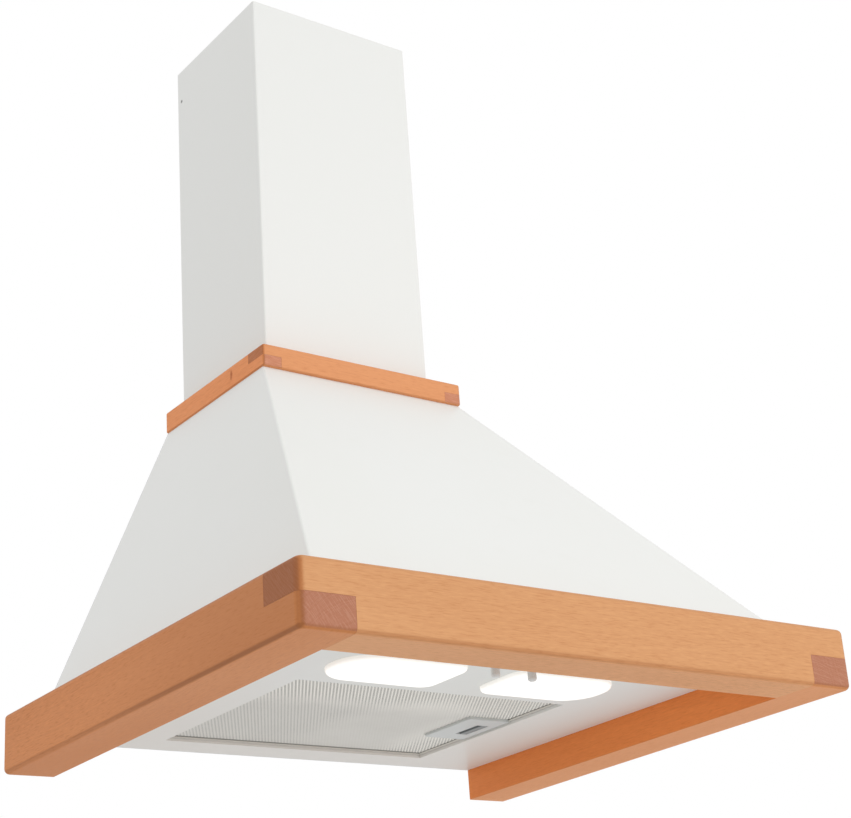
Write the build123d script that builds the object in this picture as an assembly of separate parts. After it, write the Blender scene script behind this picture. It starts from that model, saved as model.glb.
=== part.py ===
from build123d import *
from math import cos, degrees, hypot, radians, sin
import os

# A wall-mounted range hood. Millimetres. X runs to the right, the wall is the plane y = 0, the front faces -Y,
# and Z runs up. Heights below count from the underside of the wooden frame. Each piece is written with
# the origin moved up to the two hanging holes in the back panel.

# Overall sizes
WIDTH = 600.0
DEPTH = 537.0
TOP_HEIGHT = 837.5
HOOK_HEIGHT = 300.0

# Sheet and fits
SHEET = 1.0
SLIP_GAP = 0.3
RUN_GAP = 0.06
SCREW_GAP = 0.15
TINY = 0.02
OVERCUT = 5.0

# Wooden frame
RAIL_HEIGHT = 58.0
RAIL_THICK = 51.0
RAIL_ROUND = 5.0
RAIL_INNER_ROUND = 1.0
RAIL_CORNER = 8.0

# Canopy
CANOPY_INSET = 38.0
CANOPY_TOP = 379.0
CANOPY_TOP_HALF = 121.0
CANOPY_TOP_DEPTH = 202.0
CANOPY_BEND = 2.0
CANOPY_RETURN = 15.0

# Chimney cover and its bracket
CHIMNEY_WIDTH = 202.0
CHIMNEY_DEPTH = 175.5
CHIMNEY_BEND = 2.0
CHIMNEY_RETURN = 10.0
CHIMNEY_HOLE_R = 2.2
CHIMNEY_HOLE_FROM_WALL = 8.0
CHIMNEY_HOLE_FROM_TOP = 40.0
BRACKET_SHEET = 1.5
BRACKET_HEIGHT = 34.0
BRACKET_EAR = 16.0
BRACKET_TAP_R = 1.6
BRACKET_HOLE_R = 3.0
BRACKET_HOLE_SPACING = 140.0

# Wooden trim round the chimney's foot
TRIM_SIDE = 21.2
TRIM_FRONT = 29.7
TRIM_HEIGHT = 24.0
TRIM_ROUND = 2.0
TRIM_CORNER = 3.0

# Back panel
HANG_SPACING = 240.0
HANG_HOLE_R = 4.5
SAFETY_SPACING = 360.0
SAFETY_HOLE_R = 3.0
SAFETY_HEIGHT = 80.0

# Bottom panel
PANEL_Z = 33.0
PANEL_FLANGE = 8.0

# Grease filter and its opening in the bottom panel
OPENING_WIDTH = 306.0
OPENING_OFFSET = 2.0
OPENING_FROM_WALL = 41.0
OPENING_FROM_LAMPS = 24.4
OPENING_RIM = 4.0
FILTER_RECESS = 3.0
FILTER_HEIGHT = 9.0
FILTER_LIP = 2.5
FILTER_GAP = 1.2
FILTER_CORNER = 2.0
TONGUE_REACH = 8.0
TONGUE_WIDTH = 24.0
TONGUE_THICK = 1.5
TONGUE_SPACING = 120.0
RIB_PITCH = 3.7
RIB_HEIGHT = 1.5
RIB_SHEET = 0.5

# Filter handle and latch
HANDLE_WIDTH = 50.0
HANDLE_DEPTH = 80.0
HANDLE_OFF_MIDDLE = -1.0
HANDLE_PROUD = 1.5
HANDLE_WALL = 1.5
HANDLE_ROUND = 3.0
TAB_FROM_EDGE = 11.0
TAB_WIDTH = 8.0
TAB_DEPTH = 38.0
TAB_ROUND = 0.4
LATCH_TRAVEL = 6.0
LATCH_SHOULDER = 3.0
LATCH_THICK = 2.2
NOSE_DEPTH = 16.0

# Lamps
LAMP_INNER_X = 26.4
LAMP_OUTER_X = 152.7
LAMP_FROM_FRONT = 149.0
LAMP_DEPTH = 73.6
LAMP_INNER_R = 15.0
LAMP_OUTER_R = 34.0
LENS_DROP = 5.0
LENS_WALL = 2.0
LENS_ROUND = 4.0
LENS_RIM = 3.5
LENS_RIM_THICK = 1.5
REFLECTOR_HEIGHT = 44.0
REFLECTOR_SHEET = 0.8
HOLDER_R = 13.0
HOLDER_LENGTH = 30.0
BULB_R = 17.5
BULB_NECK_R = 8.5
BULB_BASE_R = 7.0
BULB_BASE_LENGTH = 22.0
BULB_GLASS_LENGTH = 78.0
BULB_BELLY = 32.0

# Controls
CONTROL_FROM_FRONT = 110.0
CONTROL_HALF_SPAN = 45.8
LIGHT_TRAVEL = 12.0
SPEED_STEP = 13.0
SPEED_STEPS = 3
BOX_END = 14.0
BOX_DEPTH = 28.0
BOX_HEIGHT = 28.0
BOX_WALL = 1.5
NECK_R = 2.5
NECK_GAP = 0.4
PEG_TOP_R = 3.4
PEG_TIP_R = 4.2
PEG_ROUND = 3.0
PEG_DROP = 22.5
SLIDER_LENGTH = 9.0
SLIDER_THICK = 3.0

# Blower scroll: four-centre spiral in the YZ plane, drawn round the fan's axis
DUCT_FROM_WALL = 88.0
FAN_Z = 240.0
SCROLL_START_R = 89.0
SCROLL_STEP = 12.0
SCROLL_HALF = 61.0
SCROLL_WALL = 2.0
TONGUE_ROUND = 5.0
SEAM_FLANGE = 8.0
SEAM_THICK = 3.0
OUTLET_FLANGE = 8.0
OUTLET_THICK = 3.0
BELL_R = 60.0
BELL_ROUND = 6.0

# Fan wheel
BLADE_COUNT = 36
BLADE_OUTER_R = 75.0
BLADE_INNER_R = 62.0
BLADE_SHEET = 1.0
BLADE_SWEEP = 8.0
BLADE_BELLY = 1.0
FAN_HALF = 50.0
RING_R = 2.5
RING_THICK = 2.5
DISC_THICK = 2.0
HUB_R = 11.0
HUB_HALF = 8.0

# Motor, shaft and bracket
SHAFT_R = 4.0
SHAFT_OUTSIDE = 26.0
MOTOR_R = 40.0
MOTOR_CAP_R = 34.0
MOTOR_STACK = 26.0
MOTOR_LENGTH = 50.0
MOTOR_ROUND = 6.0
MOTOR_BOSS_R = 12.0
MOTOR_BOSS_LENGTH = 10.0
NUT_R = 7.5
NUT_THICK = 6.0
ARM_WIDTH = 14.0
ARM_REACH = 76.0
ARM_SCREW_AT = 71.0
ARM_SHEET = 2.0
ARM_ANGLES = (90, 210, 330)

# Outlet collar and back-draught flaps
COLLAR_R = 60.0
COLLAR_WALL = 2.5
COLLAR_HEIGHT = 40.0
COLLAR_UNDERCUT = 1.5
COLLAR_PLATE = 3.0
FLAP_ABOVE_TOP = 20.0
FLAP_SHEET = 1.2
FLAP_GAP = 0.6
FLAP_EDGE = 3.1
KNUCKLE_COUNT = 4
KNUCKLE_R = 2.6
KNUCKLE_LENGTH = 12.0
KNUCKLE_GAP = 0.4
PIN_R = 1.25
STOP_REACH = 2.5
STOP_THICK = 1.5

# Wiring
TERMINAL_WIDTH = 74.0
TERMINAL_HEIGHT = 52.0
TERMINAL_DEPTH = 32.0
TERMINAL_X = -128.0
TERMINAL_Z = 176.0
TERMINAL_WALL = 2.0
CAPACITOR_R = 14.0
CAPACITOR_LENGTH = 52.0
CAPACITOR_X = 128.0
CAPACITOR_Z = 176.0
CLIP_SHEET = 1.2
CLIP_HEIGHT = 14.0
CLIP_FOOT = 12.0
GLAND_X = -84.0
GLAND_FROM_WALL = 42.0
GLAND_R = 8.0
GLAND_NECK_R = 6.0
GLAND_BORE_R = 3.8
GLAND_LIP = 2.5

# Fasteners
SCREW_R = 1.75
SCREW_HEAD_R = 2.9
SCREW_HEAD = 1.6
SCREW_GRIP = 14.0
SCREW_INSET = 3.6
FRAME_SCREW_SHARES = (0.2, 0.5, 0.8)
TRIM_SCREW_SHARES = (0.25, 0.75)
BOLT_R = 2.0
BOLT_HEAD_R = 4.0
BOLT_HEAD = 2.5

# Places worked out from the sizes above
RAIL_INNER = WIDTH / 2 - RAIL_THICK
RAIL_INNER_DEPTH = DEPTH - RAIL_THICK
CANOPY_BASE_HALF = WIDTH / 2 - CANOPY_INSET
CANOPY_BASE_DEPTH = DEPTH - CANOPY_INSET
CANOPY_RISE = CANOPY_TOP - RAIL_HEIGHT
SIDE_SLOPE = (CANOPY_BASE_HALF - CANOPY_TOP_HALF) / CANOPY_RISE
FRONT_SLOPE = (CANOPY_BASE_DEPTH - CANOPY_TOP_DEPTH) / CANOPY_RISE
PANEL_TOP = PANEL_Z + SHEET
PANEL_HALF = RAIL_INNER - SLIP_GAP
PANEL_DEPTH = RAIL_INNER_DEPTH - SLIP_GAP
FOOT_TOP = RAIL_HEIGHT + SHEET
FLANGE_TOP = FOOT_TOP + SHEET
CHIMNEY_HALF = CHIMNEY_WIDTH / 2
TRIM_INNER = CHIMNEY_HALF + SLIP_GAP
TRIM_INNER_DEPTH = CHIMNEY_DEPTH + SLIP_GAP
TRIM_HALF = TRIM_INNER + TRIM_SIDE
TRIM_DEPTH = TRIM_INNER_DEPTH + TRIM_FRONT
LAMP_FROM_WALL = DEPTH - LAMP_FROM_FRONT - LAMP_DEPTH
OPENING_DEPTH = LAMP_FROM_WALL - OPENING_FROM_LAMPS - OPENING_FROM_WALL
OPENING_MIDDLE = -OPENING_FROM_WALL - OPENING_DEPTH / 2
HANDLE_FROM_WALL = HANDLE_OFF_MIDDLE - OPENING_MIDDLE - HANDLE_DEPTH / 2
RIM_TOP = PANEL_Z + OPENING_RIM
FILTER_Z = PANEL_Z + FILTER_RECESS
FILTER_LEFT = OPENING_OFFSET - OPENING_WIDTH / 2 + FILTER_GAP
FILTER_RIGHT = OPENING_OFFSET + OPENING_WIDTH / 2 - FILTER_GAP
CONTROL_Y = CONTROL_FROM_FRONT - DEPTH
OUTLET_DEPTH = SCROLL_START_R + 2 * SCROLL_STEP + SCROLL_STEP / 2
FAN_Y = -DUCT_FROM_WALL - OUTLET_DEPTH / 2
SCROLL_TOP = CANOPY_TOP - SHEET - COLLAR_PLATE
PLATE_Z = CANOPY_TOP - SHEET
COLLAR_BORE = COLLAR_R - COLLAR_WALL
FLAP_Z = CANOPY_TOP + FLAP_ABOVE_TOP


def block(x0, x1, y0, y1, z0, z1):
    """A box between two corners."""
    return Pos((x0 + x1) / 2, (y0 + y1) / 2, (z0 + z1) / 2) * Box(x1 - x0, y1 - y0, z1 - z0)


def rod(x, y, z, radius, length, direction=(0, 0, 1)):
    """A round bar that starts at a point and runs along a direction."""
    return extrude(Plane(origin=(x, y, z), z_dir=direction) * Circle(radius), length)


def half_at(z):
    """Half the canopy's outer width at a height."""
    return CANOPY_BASE_HALF - SIDE_SLOPE * (z - RAIL_HEIGHT)


def depth_at(z):
    """The canopy's outer depth from the wall at a height."""
    return CANOPY_BASE_DEPTH - FRONT_SLOPE * (z - RAIL_HEIGHT)


def frustum(z0, z1, side_wall, front_wall, back_y):
    """The canopy's tapering block between two heights, drawn in by the walls given."""
    faces = []
    for z in (z0, z1):
        half = half_at(z) - side_wall
        depth = depth_at(z) - front_wall
        faces.append(Pos(0, (back_y - depth) / 2, z) * Rectangle(2 * half, depth + back_y))
    return loft(faces, ruled=True)


def screw(x, y, z, head_down, grip):
    """A pan-head screw along Z whose head sits on the plane at z, with its shank on the far side."""
    turn = 1 if head_down else -1
    head = rod(x, y, z, SCREW_HEAD_R, SCREW_HEAD, (0, 0, -turn))
    shank = rod(x, y, z, SCREW_R, grip, (0, 0, turn))
    return head + shank


def bolt(x, y, z, direction, grip):
    """A bolt with its head and nut on the two faces of what it clamps, and the shank between them."""
    along = Vector(*direction)
    start = Vector(x, y, z)
    end = start + along * grip
    head = extrude(Plane(origin=start, z_dir=-along) * RegularPolygon(BOLT_HEAD_R, 6), BOLT_HEAD)
    nut = extrude(Plane(origin=end, z_dir=along) * RegularPolygon(BOLT_HEAD_R, 6), BOLT_HEAD)
    shank = extrude(Plane(origin=start, z_dir=along) * Circle(BOLT_R), grip)
    return head + shank + nut


def lapped_frame(half, depth, side, front, low, height, corner, rounding, inner_rounding):
    """A U of three rails, open at the wall, joined at its corners by half laps.

    The side rails' lower halves run through to the front, and the front rail's upper half runs full width.
    """
    top = low + height
    lap = low + height / 2
    body = block(-half, half, -depth, 0, low, top)
    body = fillet(body.edges().filter_by(Axis.Z).group_by(Axis.Y)[0], corner)
    rims = body.faces().filter_by(Axis.Z).edges().filter_by(lambda e: e.center().Y < -TINY)
    body = fillet(rims, rounding)
    body -= block(side - half, half - side, front - depth, OVERCUT, low - OVERCUT, top + OVERCUT)
    if inner_rounding:
        inside = body.faces().filter_by(Axis.Z).edges().filter_by(
            lambda e: abs(e.center().X) < half - side + TINY and front - depth - TINY < e.center().Y < -TINY)
        body = fillet(inside, inner_rounding)
    band = block(-half, half, -depth, front - depth, low, top)
    through = block(-half, half, -depth, front - depth, lap, top)
    through += block(side - half, half - side, -depth, front - depth, low, lap)
    front_rail = body & through
    sides = []
    for hand in (-1, 1):
        strip = block(*sorted((hand * half, hand * (half - side))), -depth, 0, low, top)
        sides.append((body & strip) - (band & through))
    return front_rail, sides[0], sides[1]


def frame_screw_places():
    """Where the screws go down through the panel's flange and the canopy's foot into the frame."""
    places = []
    for share in FRAME_SCREW_SHARES:
        for hand in (-1, 1):
            places.append((hand * (PANEL_HALF + SCREW_INSET), -PANEL_DEPTH * share))
    for hand in (-1, 1):
        places.append((hand * PANEL_HALF / 2, -PANEL_DEPTH - SCREW_INSET))
    return places


def trim_screw_places():
    """Where the screws go up through the canopy's top plate into the trim."""
    places = []
    for share in TRIM_SCREW_SHARES:
        for hand in (-1, 1):
            places.append((hand * (TRIM_INNER + TRIM_SIDE / 2), -TRIM_INNER_DEPTH * share))
    for hand in (-1, 1):
        places.append((hand * TRIM_INNER / 2, -TRIM_INNER_DEPTH - TRIM_FRONT / 2))
    return places


def outlet_half():
    """Half the width of the scroll's outlet flange across X."""
    return SCROLL_HALF + SCROLL_WALL + OUTLET_FLANGE


def outlet_span():
    """The scroll's outlet in y: front wall and back wall of the air passage."""
    return FAN_Y, FAN_Y + OUTLET_DEPTH


def collar_bolt_places():
    """The four corners of the outlet flange, where it is bolted to the collar and the canopy."""
    front, back = outlet_span()
    inset = SCROLL_WALL + OUTLET_FLANGE / 2
    places = []
    for x in (-SCROLL_HALF - inset, SCROLL_HALF + inset):
        for y in (front - inset, back + inset):
            places.append((x, y))
    return places


def wooden_frame():
    """The beech frame, with pilot holes for the screws from above."""
    rails = lapped_frame(WIDTH / 2, DEPTH, RAIL_THICK, RAIL_THICK, 0, RAIL_HEIGHT,
                         RAIL_CORNER, RAIL_ROUND, RAIL_INNER_ROUND)
    drills = Part() + [rod(x, y, FLANGE_TOP - SCREW_GRIP - SCREW_GAP, SCREW_R + SCREW_GAP, SCREW_GRIP)
                       for x, y in frame_screw_places()]
    front, left, right = [rail - drills for rail in rails]
    return {"front_rail": front, "left_rail": left, "right_rail": right}


def trim():
    """The small beech trim on the canopy's top, round the chimney's foot."""
    strips = lapped_frame(TRIM_HALF, TRIM_DEPTH, TRIM_SIDE, TRIM_FRONT, CANOPY_TOP, TRIM_HEIGHT,
                          TRIM_CORNER, TRIM_ROUND, 0)
    drills = Part() + [rod(x, y, CANOPY_TOP - OVERCUT, SCREW_R + SCREW_GAP, SCREW_GRIP + OVERCUT)
                       for x, y in trim_screw_places()]
    front, left, right = [strip - drills for strip in strips]
    return {"trim_front": front, "trim_left": left, "trim_right": right}


def canopy():
    """Tapering sheet canopy: slanted walls, a foot on the frame, a top plate, and returns at the back."""
    side_wall = SHEET * hypot(1, SIDE_SLOPE)
    front_wall = SHEET * hypot(1, FRONT_SLOPE)
    outer = frustum(RAIL_HEIGHT, CANOPY_TOP, 0, 0, -SHEET)
    slanted = outer.edges().filter_by(lambda e: abs(e.center().Z - (RAIL_HEIGHT + CANOPY_TOP) / 2) < 1
                                      and e.center().Y < -CANOPY_TOP_DEPTH)
    outer = fillet(slanted, CANOPY_BEND)
    shell = outer - frustum(RAIL_HEIGHT - OVERCUT, CANOPY_TOP - SHEET, side_wall, front_wall, OVERCUT)
    foot = (outer & block(-WIDTH, WIDTH, -DEPTH, 0, RAIL_HEIGHT, FOOT_TOP)) - block(
        -RAIL_INNER, RAIL_INNER, -RAIL_INNER_DEPTH, OVERCUT, RAIL_HEIGHT - OVERCUT, FOOT_TOP + OVERCUT)
    low = RAIL_HEIGHT - OVERCUT
    high = CANOPY_TOP - CANOPY_RETURN
    inner = side_wall + CANOPY_RETURN
    window = make_face(Polyline(
        (half_at(low) - inner, 0, low), (half_at(high) - inner, 0, high),
        (inner - half_at(high), 0, high), (inner - half_at(low), 0, low), close=True))
    returns = (outer & block(-WIDTH, WIDTH, -2 * SHEET, -SHEET, RAIL_HEIGHT, CANOPY_TOP)) - extrude(
        window, OVERCUT, both=True)
    body = shell + foot + returns
    drills = [rod(0, -DUCT_FROM_WALL, PLATE_Z - OVERCUT, COLLAR_R + SLIP_GAP, 2 * OVERCUT)]
    drills += [rod(x, y, RAIL_HEIGHT - OVERCUT, SCREW_R + SCREW_GAP, 2 * OVERCUT)
               for x, y in frame_screw_places()]
    drills += [rod(x, y, PLATE_Z - OVERCUT, SCREW_R + SCREW_GAP, 2 * OVERCUT) for x, y in trim_screw_places()]
    drills += [rod(x, y, PLATE_Z - OVERCUT, BOLT_R + SCREW_GAP, 2 * OVERCUT) for x, y in collar_bolt_places()]
    drills.append(rod(GLAND_X, -GLAND_FROM_WALL, PLATE_Z - OVERCUT, GLAND_NECK_R + SCREW_GAP, 2 * OVERCUT))
    return body - (Part() + drills)


def back_panel():
    """Flat wall panel with the hanging holes and, lower down, the safety screw holes."""
    outline = make_face(Polyline(
        (-PANEL_HALF, 0, PANEL_Z), (PANEL_HALF, 0, PANEL_Z),
        (PANEL_HALF, 0, RAIL_HEIGHT), (CANOPY_BASE_HALF, 0, RAIL_HEIGHT),
        (CANOPY_TOP_HALF, 0, CANOPY_TOP), (-CANOPY_TOP_HALF, 0, CANOPY_TOP),
        (-CANOPY_BASE_HALF, 0, RAIL_HEIGHT), (-PANEL_HALF, 0, RAIL_HEIGHT), close=True))
    plate = extrude(outline, SHEET, dir=(0, -1, 0))
    for half, z, radius in ((HANG_SPACING / 2, HOOK_HEIGHT, HANG_HOLE_R),
                            (SAFETY_SPACING / 2, SAFETY_HEIGHT, SAFETY_HOLE_R)):
        for hand in (-1, 1):
            plate -= rod(hand * half, -OVERCUT, z, radius, 2 * OVERCUT, (0, 1, 0))
    return plate


def lens_outline(hand, grow):
    """The lamp's plan: gently rounded at its inner end, nearly a half circle at its outer end."""
    length = LAMP_OUTER_X - LAMP_INNER_X
    centre_x = hand * (LAMP_OUTER_X + LAMP_INNER_X) / 2
    face = Rectangle(length + 2 * grow, LAMP_DEPTH + 2 * grow)
    ends = face.vertices().group_by(Axis.X)
    inner, outer = (ends[0], ends[-1]) if hand > 0 else (ends[-1], ends[0])
    face = fillet(inner, LAMP_INNER_R + grow)
    far = face.vertices().group_by(Axis.X)[-1 if hand > 0 else 0]
    face = fillet(far, LAMP_OUTER_R + grow)
    return Pos(centre_x, -LAMP_FROM_WALL - LAMP_DEPTH / 2, 0) * face


def opening(grow, z0, z1):
    """The filter's opening in the panel as a block between two heights, grown or drawn in all round."""
    half = OPENING_WIDTH / 2 + grow
    return block(OPENING_OFFSET - half, OPENING_OFFSET + half, -OPENING_FROM_WALL - OPENING_DEPTH - grow,
                 grow - OPENING_FROM_WALL, z0, z1)


def bottom_panel():
    """Tray inside the frame: floor, upturned walls and a flange that hangs it on the canopy's foot."""
    tray = block(-PANEL_HALF, PANEL_HALF, -PANEL_DEPTH, -SHEET, PANEL_Z, FLANGE_TOP)
    tray += block(-PANEL_HALF - PANEL_FLANGE, PANEL_HALF + PANEL_FLANGE,
                  -PANEL_DEPTH - PANEL_FLANGE, -PANEL_FLANGE, FOOT_TOP, FLANGE_TOP)
    tray -= block(SHEET - PANEL_HALF, PANEL_HALF - SHEET, SHEET - PANEL_DEPTH, -2 * SHEET,
                  PANEL_TOP, FLANGE_TOP + OVERCUT)
    tray -= block(-PANEL_HALF - OVERCUT, PANEL_HALF + OVERCUT, -2 * SHEET - TINY, OVERCUT,
                  RAIL_HEIGHT, FLANGE_TOP + OVERCUT)
    tray += opening(SHEET, PANEL_Z, RIM_TOP)
    cuts = [opening(0, PANEL_Z - OVERCUT, RIM_TOP + OVERCUT)]
    for hand in (-1, 1):
        cuts.append(Pos(0, 0, PANEL_Z - OVERCUT) * extrude(lens_outline(hand, SLIP_GAP), 2 * OVERCUT))
    cuts += slots(PANEL_Z - OVERCUT, 2 * OVERCUT)
    cuts += [rod(x, y, RAIL_HEIGHT, SCREW_R + SCREW_GAP, OVERCUT) for x, y in frame_screw_places()]
    return tray - (Part() + cuts)


def slots(z, height):
    """The two slider slots, each as long as its slider's travel."""
    cuts = []
    for start, travel in ((-CONTROL_HALF_SPAN, LIGHT_TRAVEL),
                          (CONTROL_HALF_SPAN - SPEED_STEP * SPEED_STEPS, SPEED_STEP * SPEED_STEPS)):
        outline = SlotCenterToCenter(travel, 2 * (NECK_R + NECK_GAP))
        cuts.append(Pos(start + travel / 2, CONTROL_Y, z) * extrude(outline, height))
    return cuts


def controls():
    """The control box on the panel and the two sliders that hang through its floor."""
    half = CONTROL_HALF_SPAN + BOX_END
    low = PANEL_TOP
    shell = block(-half, half, CONTROL_Y - BOX_DEPTH / 2, CONTROL_Y + BOX_DEPTH / 2, low, low + BOX_HEIGHT)
    shell -= block(BOX_WALL - half, half - BOX_WALL, CONTROL_Y - BOX_DEPTH / 2 + BOX_WALL,
                   CONTROL_Y + BOX_DEPTH / 2 - BOX_WALL, low + BOX_WALL, low + BOX_HEIGHT - BOX_WALL)
    shell -= Part() + slots(low - OVERCUT, 2 * OVERCUT)
    floor = low + BOX_WALL + SLIP_GAP
    across = BOX_DEPTH / 2 - BOX_WALL - SLIP_GAP
    sliders = {}
    for name, x in (("light_slider", LIGHT_TRAVEL - CONTROL_HALF_SPAN),
                    ("speed_slider", CONTROL_HALF_SPAN - SPEED_STEP * SPEED_STEPS)):
        carriage = block(x - SLIDER_LENGTH / 2, x + SLIDER_LENGTH / 2, CONTROL_Y - across, CONTROL_Y + across,
                         floor, floor + SLIDER_THICK)
        neck = rod(x, CONTROL_Y, PANEL_Z - SLIP_GAP, NECK_R, floor + TINY - PANEL_Z + SLIP_GAP)
        top = Pos(x, CONTROL_Y, PANEL_Z - SLIP_GAP) * Circle(PEG_TOP_R)
        tip = Pos(x, CONTROL_Y, PANEL_Z - PEG_DROP) * Circle(PEG_TIP_R)
        peg = loft([tip, top])
        peg = fillet(peg.edges().group_by(Axis.Z)[0], PEG_ROUND)
        sliders[name] = carriage + neck + peg
    return {"control_box": shell, **sliders}


def ribbed_sheet(low):
    """Corrugated expanded sheet in the filter's frame: a zigzag across X, each rib running front to back."""
    left = FILTER_LEFT + SHEET + SLIP_GAP
    right = FILTER_RIGHT - SHEET - SLIP_GAP
    count = round((right - left) / RIB_PITCH)
    pitch = (right - left) / count
    wall = RIB_SHEET * hypot(1, RIB_HEIGHT / (pitch / 2))
    under = []
    for step in range(2 * count + 1):
        under.append((left + step * pitch / 2, 0, low + RIB_HEIGHT * (step % 2)))
    over = [(x, y, z + wall) for x, y, z in reversed(under)]
    profile = make_face(Polyline(*under, *over, close=True))
    edge = FILTER_GAP + SHEET + SLIP_GAP
    sheet = extrude(profile, OPENING_DEPTH - 2 * edge, dir=(0, -1, 0))
    return Pos(0, -OPENING_FROM_WALL - edge, 0) * sheet


def filter_body():
    """Metal frame of U section with two tongues over the opening's rim, ribbed meshes and the pad between."""
    low = FILTER_Z
    high = FILTER_Z + FILTER_HEIGHT
    frame = opening(-FILTER_GAP, low, high)
    frame = fillet(frame.edges().filter_by(Axis.Z), FILTER_CORNER)
    frame -= opening(-FILTER_GAP - SHEET, low + SHEET, high - SHEET)
    frame -= opening(-FILTER_GAP - FILTER_LIP, low - OVERCUT, high + OVERCUT)
    for hand in (-1, 1):
        y = OPENING_MIDDLE + hand * TONGUE_SPACING / 2
        frame += block(FILTER_LEFT - TONGUE_REACH, FILTER_LEFT + SHEET, y - TONGUE_WIDTH / 2,
                       y + TONGUE_WIDTH / 2, RIM_TOP + SLIP_GAP, RIM_TOP + SLIP_GAP + TONGUE_THICK)
    thick = RIB_HEIGHT + RIB_SHEET * hypot(1, 2 * RIB_HEIGHT / RIB_PITCH)
    mesh_high = high - SHEET - SLIP_GAP
    edge = -FILTER_GAP - SHEET - SLIP_GAP
    pad = opening(edge, low + SHEET + thick + SLIP_GAP, mesh_high - thick - SLIP_GAP)
    return frame, ribbed_sheet(low + SHEET), pad, ribbed_sheet(mesh_high - thick)


def grease_filter():
    """The filter with its handle, a shallow open box at its right edge that the latch slides in."""
    frame, mesh, pad, back_mesh = filter_body()
    low = FILTER_Z - HANDLE_PROUD
    high = FILTER_Z + FILTER_HEIGHT - SHEET - SLIP_GAP
    right = FILTER_RIGHT - SHEET - SLIP_GAP
    left = right - HANDLE_WIDTH
    front = -HANDLE_FROM_WALL - HANDLE_DEPTH
    back = -HANDLE_FROM_WALL
    middle = (front + back) / 2
    pocket = block(left - SLIP_GAP, FILTER_RIGHT, front - SLIP_GAP, back + SLIP_GAP, low, high + OVERCUT)
    notch = block(left, right + SLIP_GAP, front - SLIP_GAP, back + SLIP_GAP, low, FILTER_Z + SHEET + TINY)
    frame -= notch
    cup = block(left, right, front, back, low, high)
    cup = fillet(cup.edges().filter_by(Axis.Z).group_by(Axis.X)[0], HANDLE_ROUND)
    cup = fillet(cup.edges().group_by(Axis.Z)[0], HANDLE_WALL / 2)
    cup -= block(left + HANDLE_WALL, right - HANDLE_WALL, front + HANDLE_WALL, back - HANDLE_WALL,
                 low + HANDLE_WALL, high + OVERCUT)
    tab_right = right - TAB_FROM_EDGE
    tab_left = tab_right - TAB_WIDTH
    cup -= block(tab_left - LATCH_TRAVEL - SLIP_GAP, tab_right + SLIP_GAP, middle - TAB_DEPTH / 2 - SLIP_GAP,
                 middle + TAB_DEPTH / 2 + SLIP_GAP, low - OVERCUT, low + HANDLE_WALL + TINY)

    # latch: the tab in the slot, a plate that keeps it there, and a nose through the frame to the rim
    plate_low = low + HANDLE_WALL + SLIP_GAP
    plate_high = plate_low + LATCH_THICK
    nose_low = RIM_TOP + SLIP_GAP
    nose_high = nose_low + LATCH_THICK
    reach = NOSE_DEPTH / 2
    nose_way = block(right - HANDLE_WALL - TINY, FILTER_RIGHT + OVERCUT, middle - reach - SLIP_GAP,
                     middle + reach + SLIP_GAP, plate_low - TINY, nose_high + SLIP_GAP)
    latch = block(tab_left, tab_right, middle - TAB_DEPTH / 2, middle + TAB_DEPTH / 2, low, plate_high)
    latch = fillet(latch.edges().group_by(Axis.Z)[0], TAB_ROUND)
    plate_reach = TAB_DEPTH / 2 + LATCH_SHOULDER
    latch += block(tab_left - LATCH_SHOULDER, tab_right + LATCH_SHOULDER, middle - plate_reach,
                   middle + plate_reach, plate_low, plate_high)
    latch += block(tab_right - TINY, FILTER_RIGHT + FILTER_GAP - SLIP_GAP, middle - reach, middle + reach,
                   nose_low, nose_high)
    latch += block(tab_right - TINY, right - 2 * HANDLE_WALL - LATCH_TRAVEL, middle - reach, middle + reach,
                   plate_low, nose_high)
    return {"filter_frame": frame - nose_way, "filter_mesh": mesh - pocket, "filter_pad": pad - pocket,
            "filter_back_mesh": back_mesh - pocket, "filter_handle": cup - nose_way, "filter_latch": latch}


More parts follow.
